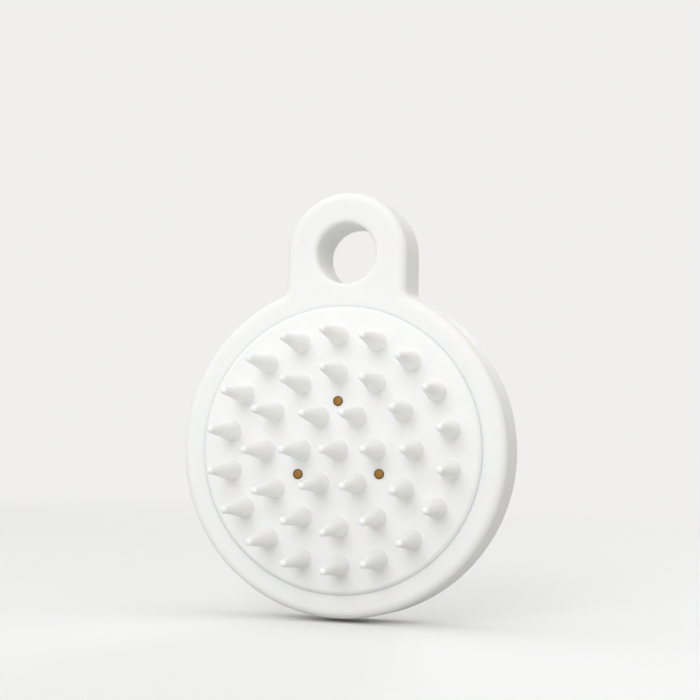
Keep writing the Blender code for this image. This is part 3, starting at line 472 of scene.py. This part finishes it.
nub_places = [(0.0, 0.0)]
for number, first in RING_STARTS.items():
    count = RING_GROWTH * number
    for step in range(count):
        nub_places.append(polar(number * NUB_PITCH, PAD_TURN + first + 360.0 / count * step))
contact_places = {name: polar(CONTACT_RADIUS, PAD_TURN + angle) for name, angle in CONTACT_ANGLES.items()}
print("places for nubs:", len(nub_places), "and for contacts:", len(contact_places))

# %% [markdown]
# ## The nubs
# Each nub is a soft cone with hollow flanks, a round tip and a small fillet where it grows out of the
# dome. Modelling the cones apart and pushing them into the dome would leave a hard line at each foot. So
# the foot of each cone is a ring of points on the dome, and the cone stands square to the dome there.

# %% Nubs
NUB_HEIGHT = 0.0143
NUB_FOOT = 0.0024
NUB_TIP = 0.0009
NUB_FILLET = 0.0002
NUB_HOLLOW = 1.15
NUB_SIDES = 40
FILLET_RINGS = 5
FLANK_RINGS = 16
TIP_RINGS = 7


def nub_profile():
    """Radius and height above the foot: fillet, hollow flank and round tip."""
    top = NUB_HEIGHT - NUB_TIP
    heights = [NUB_FILLET * (step / FILLET_RINGS) ** 2 for step in range(1, FILLET_RINGS)]
    heights += [NUB_FILLET + (top - NUB_FILLET) * step / FLANK_RINGS for step in range(FLANK_RINGS + 1)]
    profile = []
    for height in heights:
        flank = NUB_TIP + (NUB_FOOT - NUB_TIP) * (1.0 - height / top) ** NUB_HOLLOW
        rest = max(0.0, 1.0 - height / NUB_FILLET)
        profile.append((flank + NUB_FILLET * (1.0 - math.sqrt(1.0 - rest * rest)), height))
    tip = quarter(TIP_RINGS)[1:-1]
    return profile + [(NUB_TIP * math.cos(t), top + NUB_TIP * math.sin(t)) for t in tip]


def grow_nub(bm, place):
    """One nub square to the dome; returns its foot ring, which lies on the dome."""
    x, y = place
    radius = math.hypot(x, y)
    wave = math.pi / PAD_RADIUS
    slope = math.atan((PAD_CROWN - PAD_STEP) * wave / 2.0 * math.sin(wave * radius))
    lean = Matrix.Rotation(slope, 4, Vector((-y, x, 0.0))) if radius else Matrix.Identity(4)
    stand = Matrix.Translation((x, y, dome(x, y))) @ lean
    foot = [(px, py, dome(px, py)) for px, py, _ in circle(NUB_FOOT + NUB_FILLET, 0.0, NUB_SIDES, place)]
    loops = [ring(bm, foot)]
    for size, height in nub_profile():
        loops.append(ring(bm, [stand @ Vector(point) for point in circle(size, height, NUB_SIDES)]))
    bridge(bm, loops)
    close_tip(bm, loops[-1], stand @ Vector((0.0, 0.0, NUB_HEIGHT)))
    return loops[0]


print("rings of a nub:", len(nub_profile()))

# %% [markdown]
# ## The pad as one skin
# The dome is filled between the feet of the nubs, the bores for the contacts and the edge of the pad,
# which stands a little proud of the rim and rounds over into the seam. A fill with no points of its own
# would cross the dome with long flat triangles. A triangular grid gives it points, and they keep clear of
# every ring.

# %% Points between the nubs
FACE_RADIUS = 0.033995
EDGE_SPREAD = 0.0012
CONTACT_HOLE = 0.00121
GRID_SPACING = 0.0013
GRID_CLEAR = 0.0007
ROW_SHARE = 0.866


def pad_points():
    """A triangular grid of points on the pad, clear of every ring."""
    kept = []
    rows = int(PAD_RADIUS / (GRID_SPACING * ROW_SHARE))
    reach = FACE_RADIUS - EDGE_SPREAD - GRID_CLEAR
    for row in range(-rows, rows + 1):
        y = row * GRID_SPACING * ROW_SHARE
        shift = GRID_SPACING / 2.0 if row % 2 else 0.0
        for column in range(-rows, rows + 1):
            x = column * GRID_SPACING + shift
            from_nub = min(math.dist((x, y), place) for place in nub_places)
            from_pin = min(math.dist((x, y), place) for place in contact_places.values())
            far_from_nub = from_nub > NUB_FOOT + NUB_FILLET + GRID_CLEAR
            far_from_pin = from_pin > CONTACT_HOLE + 2.0 * GRID_CLEAR
            if math.hypot(x, y) < reach and far_from_nub and far_from_pin:
                kept.append((x, y))
    return kept


between_nubs = pad_points()
print("points between the nubs:", len(between_nubs))

# %% Build the pad
EDGE_DROP = 0.00085
EDGE_RINGS = 10
CONTACT_MOUTH = 0.00004
CONTACT_POCKET = 0.0022
POCKET_TOP = 0.0145
CONTACT_SIDES = 40


def nub_pad():
    """The pad: round edge, nubs, bored places for the contacts, and the dome between them all."""
    bm = bmesh.new()
    edge_start = FACE_RADIUS - EDGE_SPREAD
    edge_top = dome(edge_start, 0.0)
    side = [(FACE_RADIUS, LIP_BACK)]
    for step in range(EDGE_RINGS, -1, -1):
        share = step / EDGE_RINGS
        side.append((edge_start + EDGE_SPREAD * share, edge_top - EDGE_DROP * share**2))
    edge = turned_loops(bm, side, OPENING_SIDES)
    feet = [grow_nub(bm, place) for place in nub_places]
    mouths = []
    pockets = []
    for place in contact_places.values():
        bore = hole_mouth(CONTACT_HOLE, dome(*place), CONTACT_MOUTH, -1.0)
        bore += [(CONTACT_HOLE, POCKET_TOP), (CONTACT_POCKET, POCKET_TOP), (CONTACT_POCKET, LIP_BACK)]
        loops = turned_loops(bm, bore, CONTACT_SIDES, place)
        mouths.append(loops[0])
        pockets.append(loops[-1])
    flat_fill(bm, [edge[-1], *feet, *mouths], dome, between_nubs)
    flat_fill(bm, [edge[0], *pockets], lambda x, y: LIP_BACK)
    return bm


piece("nub_pad_fine", nub_pad(), pad_silicone, "massager", ["nub_pad"])

# %% [markdown]
# ## The contacts
# The three contacts are turned brass pins with a plated, slightly crowned face that lies flush with the
# pad. They look bronze, with faint turning marks. The darker ring at the edge of each face is painted
# shade where the face meets its bore. The marks are rings, so they come from the distance to the pin's
# own axis. A picture of a turned disc would do too, but it would have to be laid on each face by itself.

# %% Distance to the contacts' axes
DROP_Y = (1.0, 0.0, 1.0)


def calculate(tree, operation, first, second=None):
    """One step of arithmetic on two values, each of them an output of a node or a number."""
    node = tree.nodes.new("ShaderNodeMath")
    node.operation = operation
    for socket, value in zip(node.inputs, (first, second)):
        if isinstance(value, bpy.types.NodeSocket):
            tree.links.new(value, socket)
        elif value is not None:
            socket.default_value = value
    return node.outputs["Value"]


def nearest_axis(tree, place, spots):
    """Distance to the nearest of several axes along y."""
    flat = tree.nodes.new("ShaderNodeVectorMath")
    flat.operation = "MULTIPLY"
    flat.inputs[1].default_value = DROP_Y
    tree.links.new(place, flat.inputs[0])
    nearest = None
    for spot in spots:
        away = tree.nodes.new("ShaderNodeVectorMath")
        away.operation = "DISTANCE"
        away.inputs[1].default_value = spot
        tree.links.new(flat.outputs["Vector"], away.inputs[0])
        reach = away.outputs["Value"]
        nearest = reach if nearest is None else calculate(tree, "MINIMUM", nearest, reach)
    return nearest


axes = [UPRIGHT @ Vector((x, y, 0.0)) for x, y in contact_places.values()]
axes = [(spot.x, 0.0, spot.z) for spot in axes]
print("contact axes:", [[round(v, 4) for v in spot] for spot in axes])

# %% Contact metal
# Where the painted shade at the edge of each contact face begins, and where it is full.
PAINTED_SHADE_START = 0.00082
PAINTED_SHADE_END = 0.00096
MARK_RATE = 60000.0
MARK_STRENGTH = 0.15
MARK_DEPTH = 0.00001
GRIT_SCALE = 2500.0
MATT_BELOW = 0.08
MATT_ABOVE = 0.10


def turned_metal(name, pale, dark, roughness, spots):
    """Plated metal with painted shade at its edge and faint turning rings round the nearest of several
    axes.
    """
    material, tree, shader, place = new_finish(name)
    nearest = nearest_axis(tree, place, spots)
    # The second colour, mixed in towards the edge of the face, is painted shade where the face meets its
    # bore.
    tone_and_painted_shade = tree.nodes.new("ShaderNodeMixRGB")
    set_inputs(tone_and_painted_shade, {"Color1": (*pale, 1.0), "Color2": (*dark, 1.0)})
    feed(tree, tone_and_painted_shade, {"Fac": map_range(tree, nearest, {"From Min": PAINTED_SHADE_START, "From Max": PAINTED_SHADE_END})})
    marks = calculate(tree, "SINE", calculate(tree, "MULTIPLY", nearest, MARK_RATE))
    relief = bump(tree, marks, MARK_STRENGTH, MARK_DEPTH)
    limits = {"To Min": roughness - MATT_BELOW, "To Max": roughness + MATT_ABOVE}
    matt = map_range(tree, noise(tree, place, GRIT_SCALE), limits)
    sources = {"Base Color": tone_and_painted_shade.outputs["Color"], "Roughness": matt, "Normal": relief.outputs["Normal"]}
    feed(tree, shader, sources)
    set_inputs(shader, {"Metallic": 1.0})
    return material


# The second colour here is painted shade for the edge ring of each contact face.
contact_metal = turned_metal("contact_metal", (0.29, 0.148, 0.038), (0.12, 0.084, 0.032), 0.42, axes)
print("finish of the contacts:", contact_metal.name)

# %% Build the contacts
PIN_FACE = 0.00119
PIN_CROWN = 0.00006
PIN_EDGE = 0.00005
PIN_FLANGE = 0.0019
PIN_FLANGE_TOP = 0.0142
PIN_SHANK = 0.0007
PIN_TAIL = 0.0089
PIN_SIDES = 48
PIN_RINGS = 4


def contact_pin(place):
    """A pin with shank, flange and a slightly crowned face that lies flush with the dome."""
    bm = bmesh.new()
    face = dome(*place)
    start = PIN_FACE - PIN_EDGE
    profile = [(PIN_SHANK, PIN_TAIL), (PIN_SHANK, LIP_BACK), (PIN_FLANGE, LIP_BACK)]
    profile += [(PIN_FLANGE, PIN_FLANGE_TOP), (PIN_FACE, PIN_FLANGE_TOP)]
    for turn in quarter(PIN_RINGS):
        profile.append((start + PIN_EDGE * math.cos(turn), face - PIN_EDGE * (1.0 - math.sin(turn))))
    for step in range(PIN_RINGS - 1, 0, -1):
        share = step / PIN_RINGS
        profile.append((start * share, face + PIN_CROWN * (1.0 - share**2)))
    loops = turned_loops(bm, profile, PIN_SIDES, place)
    close_tip(bm, loops[-1], (*place, face + PIN_CROWN))
    close_tip(bm, loops[0], (*place, PIN_TAIL))
    return bm


for name, place in contact_places.items():
    node = "contact_pin_" + name
    piece("contact_" + name, contact_pin(place), contact_metal, "massager", [node])

# %% [markdown]
# ## The button on the back
# The back isn't in the picture. Such massagers have one round button there, moulded to match the body.
# The button is turned: a dished face with a soft edge, and inside a groove, a flange and a post in the
# CAD model's sizes. A bevelled cylinder would be quicker, but it has no dish. The button rides on its own
# body, so it can be pressed.

# %% Build the button
BUTTON_RADIUS = 0.0047
BUTTON_FACE = 0.0002
BUTTON_DISH = 0.0005
BUTTON_EDGE = 0.0005
DISH_RINGS = 8
GROOVE_RADIUS = 0.0037
GROOVE_BACK = 0.00215
GROOVE_FRONT = 0.00315
FLANGE_RADIUS = 0.0060
FLANGE_BACK = 0.0037
FLANGE_FRONT = 0.0045
POST_RADIUS = 0.0020
POST_FRONT = 0.0064


def push_button():
    """The button, from its dished face inwards over edge, groove and flange to the post."""
    bm = bmesh.new()
    shoulder = BUTTON_RADIUS - BUTTON_EDGE
    shares = [step / DISH_RINGS for step in range(1, DISH_RINGS + 1)]
    profile = [(shoulder * s, BUTTON_FACE + BUTTON_DISH * (1.0 - s * s) ** 2) for s in shares]
    for turn in quarter(MOUTH_STEPS)[1:]:
        height = BUTTON_FACE + BUTTON_EDGE * (1.0 - math.cos(turn))
        profile.append((shoulder + BUTTON_EDGE * math.sin(turn), height))
    profile += [(BUTTON_RADIUS, GROOVE_BACK), (GROOVE_RADIUS, GROOVE_BACK)]
    profile += [(GROOVE_RADIUS, GROOVE_FRONT), (BUTTON_RADIUS, GROOVE_FRONT)]
    profile += [(BUTTON_RADIUS, FLANGE_BACK), (FLANGE_RADIUS, FLANGE_BACK)]
    profile += [(FLANGE_RADIUS, FLANGE_FRONT), (POST_RADIUS, FLANGE_FRONT), (POST_RADIUS, POST_FRONT)]
    loops = turned_loops(bm, profile, BUTTON_SIDES)
    close_tip(bm, loops[0], (0.0, 0.0, BUTTON_FACE + BUTTON_DISH))
    close_tip(bm, loops[-1], (0.0, 0.0, POST_FRONT))
    return bm


button_plastic = silicone("button_plastic", (0.84, 0.84, 0.82), (0.81, 0.81, 0.785), 0.42, 0.00002)
piece("press_button", push_button(), button_plastic, "button", ["power_button"])

# %% [markdown]
# ## The light window
# A small clear window in the back lets the charge light out. It is a moulded rod with a collar, and it is
# turned like the button. Its finish comes from a helper that makes a speckled or streaked surface from
# noise. The window could have a helper to itself, but the inner pieces need one of the same kind.

# %% Speckled finish
SPECK_LOW = 0.32
SPECK_HIGH = 0.68
SPECK_DETAIL = 5.0
SPECK_SHINE = 0.08
SPECK_STRENGTH = 0.20


def speckled(name, pale, dark, roughness, metallic, scale, stretch=(1.0, 1.0, 1.0), depth=0.00002):
    """A surface between two colours, with noise stretched along an axis for brushed or drawn metal."""
    material, tree, shader, place = new_finish(name)
    streak = tree.nodes.new("ShaderNodeMapping")
    set_inputs(streak, {"Scale": stretch})
    feed(tree, streak, {"Vector": place})
    speck = noise(tree, streak.outputs["Vector"], scale, SPECK_DETAIL)
    tint = ramp(tree, speck, dark, pale, SPECK_LOW, SPECK_HIGH)
    matt = map_range(tree, speck, {"To Min": roughness - SPECK_SHINE, "To Max": roughness + SPECK_SHINE})
    relief = bump(tree, speck, SPECK_STRENGTH, depth)
    feed(tree, shader, {"Base Color": tint, "Roughness": matt, "Normal": relief.outputs["Normal"]})
    set_inputs(shader, {"Metallic": metallic})
    return material


clear_plastic = speckled("clear_plastic", (0.86, 0.90, 0.92), (0.80, 0.85, 0.88), 0.18, 0.0, 400.0)
set_inputs(clear_plastic.node_tree.nodes["Principled BSDF"], {"Transmission Weight": 0.55})
print("finish of the window:", clear_plastic.name)

# %% Build the light window
WINDOW_RADIUS = 0.0009
WINDOW_FACE = 0.0001
WINDOW_CROWN = 0.0002
WINDOW_SIDES = 40
COLLAR_RADIUS = 0.0017
COLLAR_BACK = 0.0037
COLLAR_FRONT = 0.0043
PIPE_FRONT = 0.0081


def light_window():
    """A clear rod with a crowned face on the back and a collar inside."""
    bm = bmesh.new()
    profile = []
    for turn in quarter(MOUTH_STEPS)[1:]:
        height = WINDOW_FACE + WINDOW_CROWN * (1.0 - math.cos(turn))
        profile.append((WINDOW_RADIUS * math.sin(turn), height))
    profile += [(WINDOW_RADIUS, COLLAR_BACK), (COLLAR_RADIUS, COLLAR_BACK)]
    profile += [(COLLAR_RADIUS, COLLAR_FRONT), (WINDOW_RADIUS, COLLAR_FRONT), (WINDOW_RADIUS, PIPE_FRONT)]
    loops = turned_loops(bm, profile, WINDOW_SIDES, PIPE_PLACE)
    close_tip(bm, loops[0], (*PIPE_PLACE, WINDOW_FACE))
    close_tip(bm, loops[-1], (*PIPE_PLACE, PIPE_FRONT))
    return bm


piece("light_window", light_window(), clear_plastic, "massager", ["light_pipe"])

# %% [markdown]
# ## The inner pieces
# The pieces inside don't show in the picture, but the model can be opened, so each keeps its CAD shape
# and gets a finish of its own. The same helper serves moulded plastic, rubber, bare metal, the printed
# board and the wires, with the scale and stretch of the noise set for each. A plain colour would be
# quicker, but a moulded, cast or drawn surface is never quite even.

# %% Finishes of the inner pieces
core_plastic = speckled("core_plastic", (0.56, 0.57, 0.58), (0.50, 0.51, 0.52), 0.50, 0.0, 900.0)
gasket_rubber = speckled("gasket_rubber", (0.035, 0.035, 0.035), (0.02, 0.02, 0.02), 0.62, 0.0, 1500.0)
screw_steel = speckled("screw_steel", (0.58, 0.58, 0.59), (0.44, 0.44, 0.45), 0.32, 1.0, 700.0)
board_resist = speckled("board_resist", (0.02, 0.17, 0.075), (0.012, 0.11, 0.05), 0.38, 0.0, 350.0)
chip_epoxy = speckled("chip_epoxy", (0.028, 0.028, 0.030), (0.015, 0.015, 0.016), 0.48, 0.0, 2600.0)
cream_nylon = speckled("cream_nylon", (0.82, 0.78, 0.64), (0.74, 0.70, 0.56), 0.45, 0.0, 800.0)
pouch_foil = speckled("pouch_foil", (0.64, 0.65, 0.67), (0.50, 0.51, 0.53), 0.36, 1.0, 180.0, depth=0.0001)
tape_foam = speckled("tape_foam", (0.13, 0.13, 0.14), (0.07, 0.07, 0.075), 0.88, 0.0, 2200.0, depth=0.0001)
red_wire = speckled("red_wire", (0.48, 0.035, 0.025), (0.38, 0.02, 0.015), 0.45, 0.0, 600.0)
black_wire = speckled("black_wire", (0.03, 0.03, 0.032), (0.018, 0.018, 0.02), 0.45, 0.0, 600.0)
drawn_can = speckled(
    "drawn_can", (0.64, 0.64, 0.66), (0.50, 0.50, 0.52), 0.28, 1.0, 900.0, stretch=(0.05, 1.0, 1.0)
)
sintered = speckled("sintered_weight", (0.32, 0.32, 0.33), (0.22, 0.22, 0.23), 0.45, 1.0, 3000.0)
print("materials so far:", len(bpy.data.materials))

# %% Dress the inner pieces
inner_finishes = {
    "core_cup": core_plastic,
    "carrier_plate": core_plastic,
    "motor_clamp": core_plastic,
    "seal_ring": gasket_rubber,
    "button_seal": gasket_rubber,
    "main_board": board_resist,
    "tact_switch": chip_epoxy,
    "control_chip": chip_epoxy,
    "switch_plunger": cream_nylon,
    "status_led": cream_nylon,
    "battery_connector": cream_nylon,
    "motor_end_cap": cream_nylon,
    "battery_cell": pouch_foil,
    "battery_foam": tape_foam,
    "battery_lead_positive": red_wire,
    "motor_lead_positive": red_wire,
    "battery_lead_negative": black_wire,
    "motor_lead_negative": black_wire,
    "motor_can": drawn_can,
    "motor_shaft": screw_steel,
    "eccentric_weight": sintered,
}
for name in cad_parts:
    if "_screw_" in name:
        inner_finishes[name] = screw_steel
for name, material in inner_finishes.items():
    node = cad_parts[name]
    node.data.materials.clear()
    node.data.materials.append(material)
print("inner pieces dressed:", len(inner_finishes))

# %% [markdown]
# ## The floor and its paper
# A pale sheet of paper runs under the massager and up behind it. A flat floor would end in a line in the
# picture, and the bend of the sheet hides that line. The pale background comes from the paper's own
# colour, and further off from a glow that only the camera, mirrors and clear pieces see, so it throws no
# extra light on the massager. To the light it sends back the paper is greyer, which keeps the shading on
# the white silicone. The floor near the massager keeps its shadow.

# %% Sheet of the floor
SWEEP_REACH = 3.0
SWEEP_BACK = 0.9
SWEEP_BEND = 0.5
BEND_STEPS = 16
FLOOR_GAP = 0.0005


def pale_sweep():
    """A floor that curves up into a backdrop far behind."""
    bm = bmesh.new()
    floor = -BODY_RADIUS - LOOP_HEIGHT - FLOOR_GAP
    section = [(-SWEEP_REACH, floor), (SWEEP_BACK, floor)]
    for turn in quarter(BEND_STEPS)[1:]:
        height = floor + SWEEP_BEND * (1.0 - math.cos(turn))
        section.append((SWEEP_BACK + SWEEP_BEND * math.sin(turn), height))
    section.append((SWEEP_BACK + SWEEP_BEND, floor + SWEEP_REACH))
    rows = [[bm.verts.new((x, y, z)) for y, z in section] for x in (-SWEEP_REACH, SWEEP_REACH)]
    for index in range(len(section) - 1):
        bm.faces.new((rows[0][index], rows[0][index + 1], rows[1][index + 1], rows[1][index]))
    mesh = bpy.data.meshes.new("pale_sweep")
    bm.to_mesh(mesh)
    bm.free()
    mesh.shade_smooth()
    return add_object("pale_sweep", mesh)


sweep = pale_sweep()
print("floor faces:", len(sweep.data.polygons))

# %% Paper of the floor
PAPER_PALE = (0.935, 0.93, 0.92)
PAPER_GREY = (0.56, 0.56, 0.55)
BACKDROP_GLOW = (0.87, 0.865, 0.855)
FADE_NEAR = 0.05
FADE_FAR = 0.90


def seen_rays(tree):
    """One for rays from the camera, mirrors and clear pieces, nought for light on its way to a surface."""
    path = tree.nodes.new("ShaderNodeLightPath")
    seen = path.outputs["Is Camera Ray"]
    for kind in ("Is Glossy Ray", "Is Transmission Ray"):
        seen = calculate(tree, "MAXIMUM", seen, path.outputs[kind])
    return seen


def sweep_paper():
    """Matt paper, pale to the camera, greyer to the light it throws back, fading into an even glow."""
    material = speckled(
        "sweep_paper", PAPER_PALE, PAPER_GREY, roughness=0.85, metallic=0.0, scale=60.0, depth=0.0
    )
    tree = material.node_tree
    seen = seen_rays(tree)
    feed(tree, tree.nodes["Color Ramp"], {"Fac": seen})
    away = tree.nodes.new("ShaderNodeVectorMath")
    away.operation = "LENGTH"
    tree.links.new(tree.nodes["Texture Coordinate"].outputs["Object"], away.inputs[0])
    fade = tree.nodes.new("ShaderNodeMapRange")
    fade.interpolation_type = "SMOOTHSTEP"
    set_inputs(fade, {"From Min": FADE_NEAR, "From Max": FADE_FAR})
    feed(tree, fade, {"Value": away.outputs["Value"]})
    glow = tree.nodes.new("ShaderNodeEmission")
    set_inputs(glow, {"Color": (*BACKDROP_GLOW, 1.0)})
    blend = tree.nodes.new("ShaderNodeMixShader")
    feed(tree, blend, {"Fac": calculate(tree, "MULTIPLY", fade.outputs["Result"], seen)})
    tree.links.new(tree.nodes["Principled BSDF"].outputs["BSDF"], blend.inputs[1])
    tree.links.new(glow.outputs["Emission"], blend.inputs[2])
    feed(tree, tree.nodes["Material Output"], {"Surface": blend.outputs["Shader"]})
    return material


sweep.data.materials.append(sweep_paper())
print("paper of the floor:", sweep.data.materials[0].name)

# %% [markdown]
# ## Lamps
# One large soft lamp stands in front, a little to the left and above the camera. A small lamp would throw
# hard shadows from the nubs, and a large one keeps them soft. A weak lamp behind lights the back. Its
# beam is narrow, so that it lights little of the floor, and the camera doesn't see it.

# %% Set up the lamps
KEY_REACH = 1.3
KEY_SIDE = math.radians(-4.0)
KEY_RISE = math.radians(22.0)
KEY_SIZE = 0.7
KEY_POWER = 5.0
LAMP_COLOUR = (0.945, 0.95, 0.98)
BACK_PLACE = (0.0, 0.85, 0.10)
BACK_SIZE = 0.6
BACK_SPREAD = math.radians(20.0)
BACK_POWER = 0.21


def soft_lamp(name, place, target, size, power):
    """A round area lamp at a place, turned towards a target."""
    lamp = bpy.data.lights.new(name, "AREA")
    lamp.shape = "DISK"
    lamp.size = size
    lamp.energy = power
    lamp.color = LAMP_COLOUR
    obj = add_object(name, lamp)
    obj.location = place
    obj.rotation_euler = (Vector(target) - Vector(place)).to_track_quat("-Z", "Y").to_euler()
    return obj


middle = Vector((0.0, 0.0, -LOOP_HEIGHT))
towards = Vector((
    math.sin(KEY_SIDE) * math.cos(KEY_RISE),
    -math.cos(KEY_SIDE) * math.cos(KEY_RISE),
    math.sin(KEY_RISE),
))
key_lamp = soft_lamp("key_lamp", middle + KEY_REACH * towards, middle, KEY_SIZE, KEY_POWER)
back_lamp = soft_lamp("back_lamp", BACK_PLACE, middle, BACK_SIZE, BACK_POWER)
back_lamp.data.spread = BACK_SPREAD
back_lamp.visible_camera = False
print("key lamp at", [round(v, 2) for v in key_lamp.location])

# %% [markdown]
# ## The sky
# The sky does the rest. It is cool and bright overhead, a little towards the front and the left, and
# warmer and dimmer towards the horizon, so that the shaded sides turn a warm grey. A picture of a room
# could light the scene as well, but two colours are enough here and need no file. Lamps and sky together
# stay at a plain level, and the white silicone keeps its shading. The camera sees an even glow in place
# of the sky.

# %% Set up the sky
SKY_POLE = Vector((-0.08, -0.22, 0.97)).normalized()
SKY_ZENITH = (0.925, 0.945, 1.0)
SKY_HORIZON = (0.58, 0.555, 0.43)
SKY_STRENGTH = 1.09


def soft_sky():
    """Light that is cool and bright round a pole, warm and dimmer away from it; seen as an even glow."""
    world = bpy.data.worlds.new("soft_sky")
    world.use_nodes = True
    tree = world.node_tree
    sky = tree.nodes["Background"]
    place = tree.nodes.new("ShaderNodeTexCoord")
    height = tree.nodes.new("ShaderNodeVectorMath")
    height.operation = "DOT_PRODUCT"
    height.inputs[1].default_value = SKY_POLE
    tree.links.new(place.outputs["Generated"], height.inputs[0])
    set_inputs(sky, {"Strength": SKY_STRENGTH})
    feed(tree, sky, {"Color": ramp(tree, height.outputs["Value"], SKY_HORIZON, SKY_ZENITH)})
    glow = tree.nodes.new("ShaderNodeBackground")
    set_inputs(glow, {"Color": (*BACKDROP_GLOW, 1.0)})
    blend = tree.nodes.new("ShaderNodeMixShader")
    feed(tree, blend, {"Fac": seen_rays(tree)})
    tree.links.new(sky.outputs["Background"], blend.inputs[1])
    tree.links.new(glow.outputs["Background"], blend.inputs[2])
    feed(tree, tree.nodes["World Output"], {"Surface": blend.outputs["Shader"]})
    return world


scene = bpy.context.scene
scene.world = soft_sky()
scene.view_settings.view_transform = "Standard"
print("sky:", scene.world.name)

# %% [markdown]
# ## The camera
# The picture was taken from a little to the right of the massager's axis, at about 0.36 m, with a lens of
# about 80 mm on full frame. Its turn and distance could be set by eye, but here they come from a fit to
# the outlines and the nubs. The camera is set in the face frame, at the middle of the pad, and then stood
# upright with the same matrix as the pieces.

# %% Set up the camera
LENS_PIXELS = 1550.0
IMAGE_SIDE = 700.0
SENSOR_WIDTH = 36.0
CLIP_START = 0.01
YAW = math.radians(-15.49)
PITCH = math.radians(-3.65)
ROLL = math.radians(-1.59)
AWAY = Vector((-0.00287, -0.02334, -0.36278))

turn = Matrix.Rotation(ROLL, 4, "Z") @ Matrix.Rotation(PITCH, 4, "X") @ Matrix.Rotation(YAW, 4, "Y")
view = Matrix.Translation(AWAY) @ turn
pad_middle = UPRIGHT @ Matrix.Translation((0.0, 0.0, BODY_DEPTH + PAD_CROWN))
camera_data = bpy.data.cameras.new("picture_camera")
camera_data.sensor_width = SENSOR_WIDTH
camera_data.lens = SENSOR_WIDTH * LENS_PIXELS / IMAGE_SIDE
camera_data.clip_start = CLIP_START
camera = add_object("picture_camera", camera_data)
camera.matrix_world = pad_middle @ view.inverted()
scene.camera = camera
print("camera at", [round(v, 3) for v in camera.matrix_world.translation])
print("lens:", round(camera_data.lens, 1), "mm")
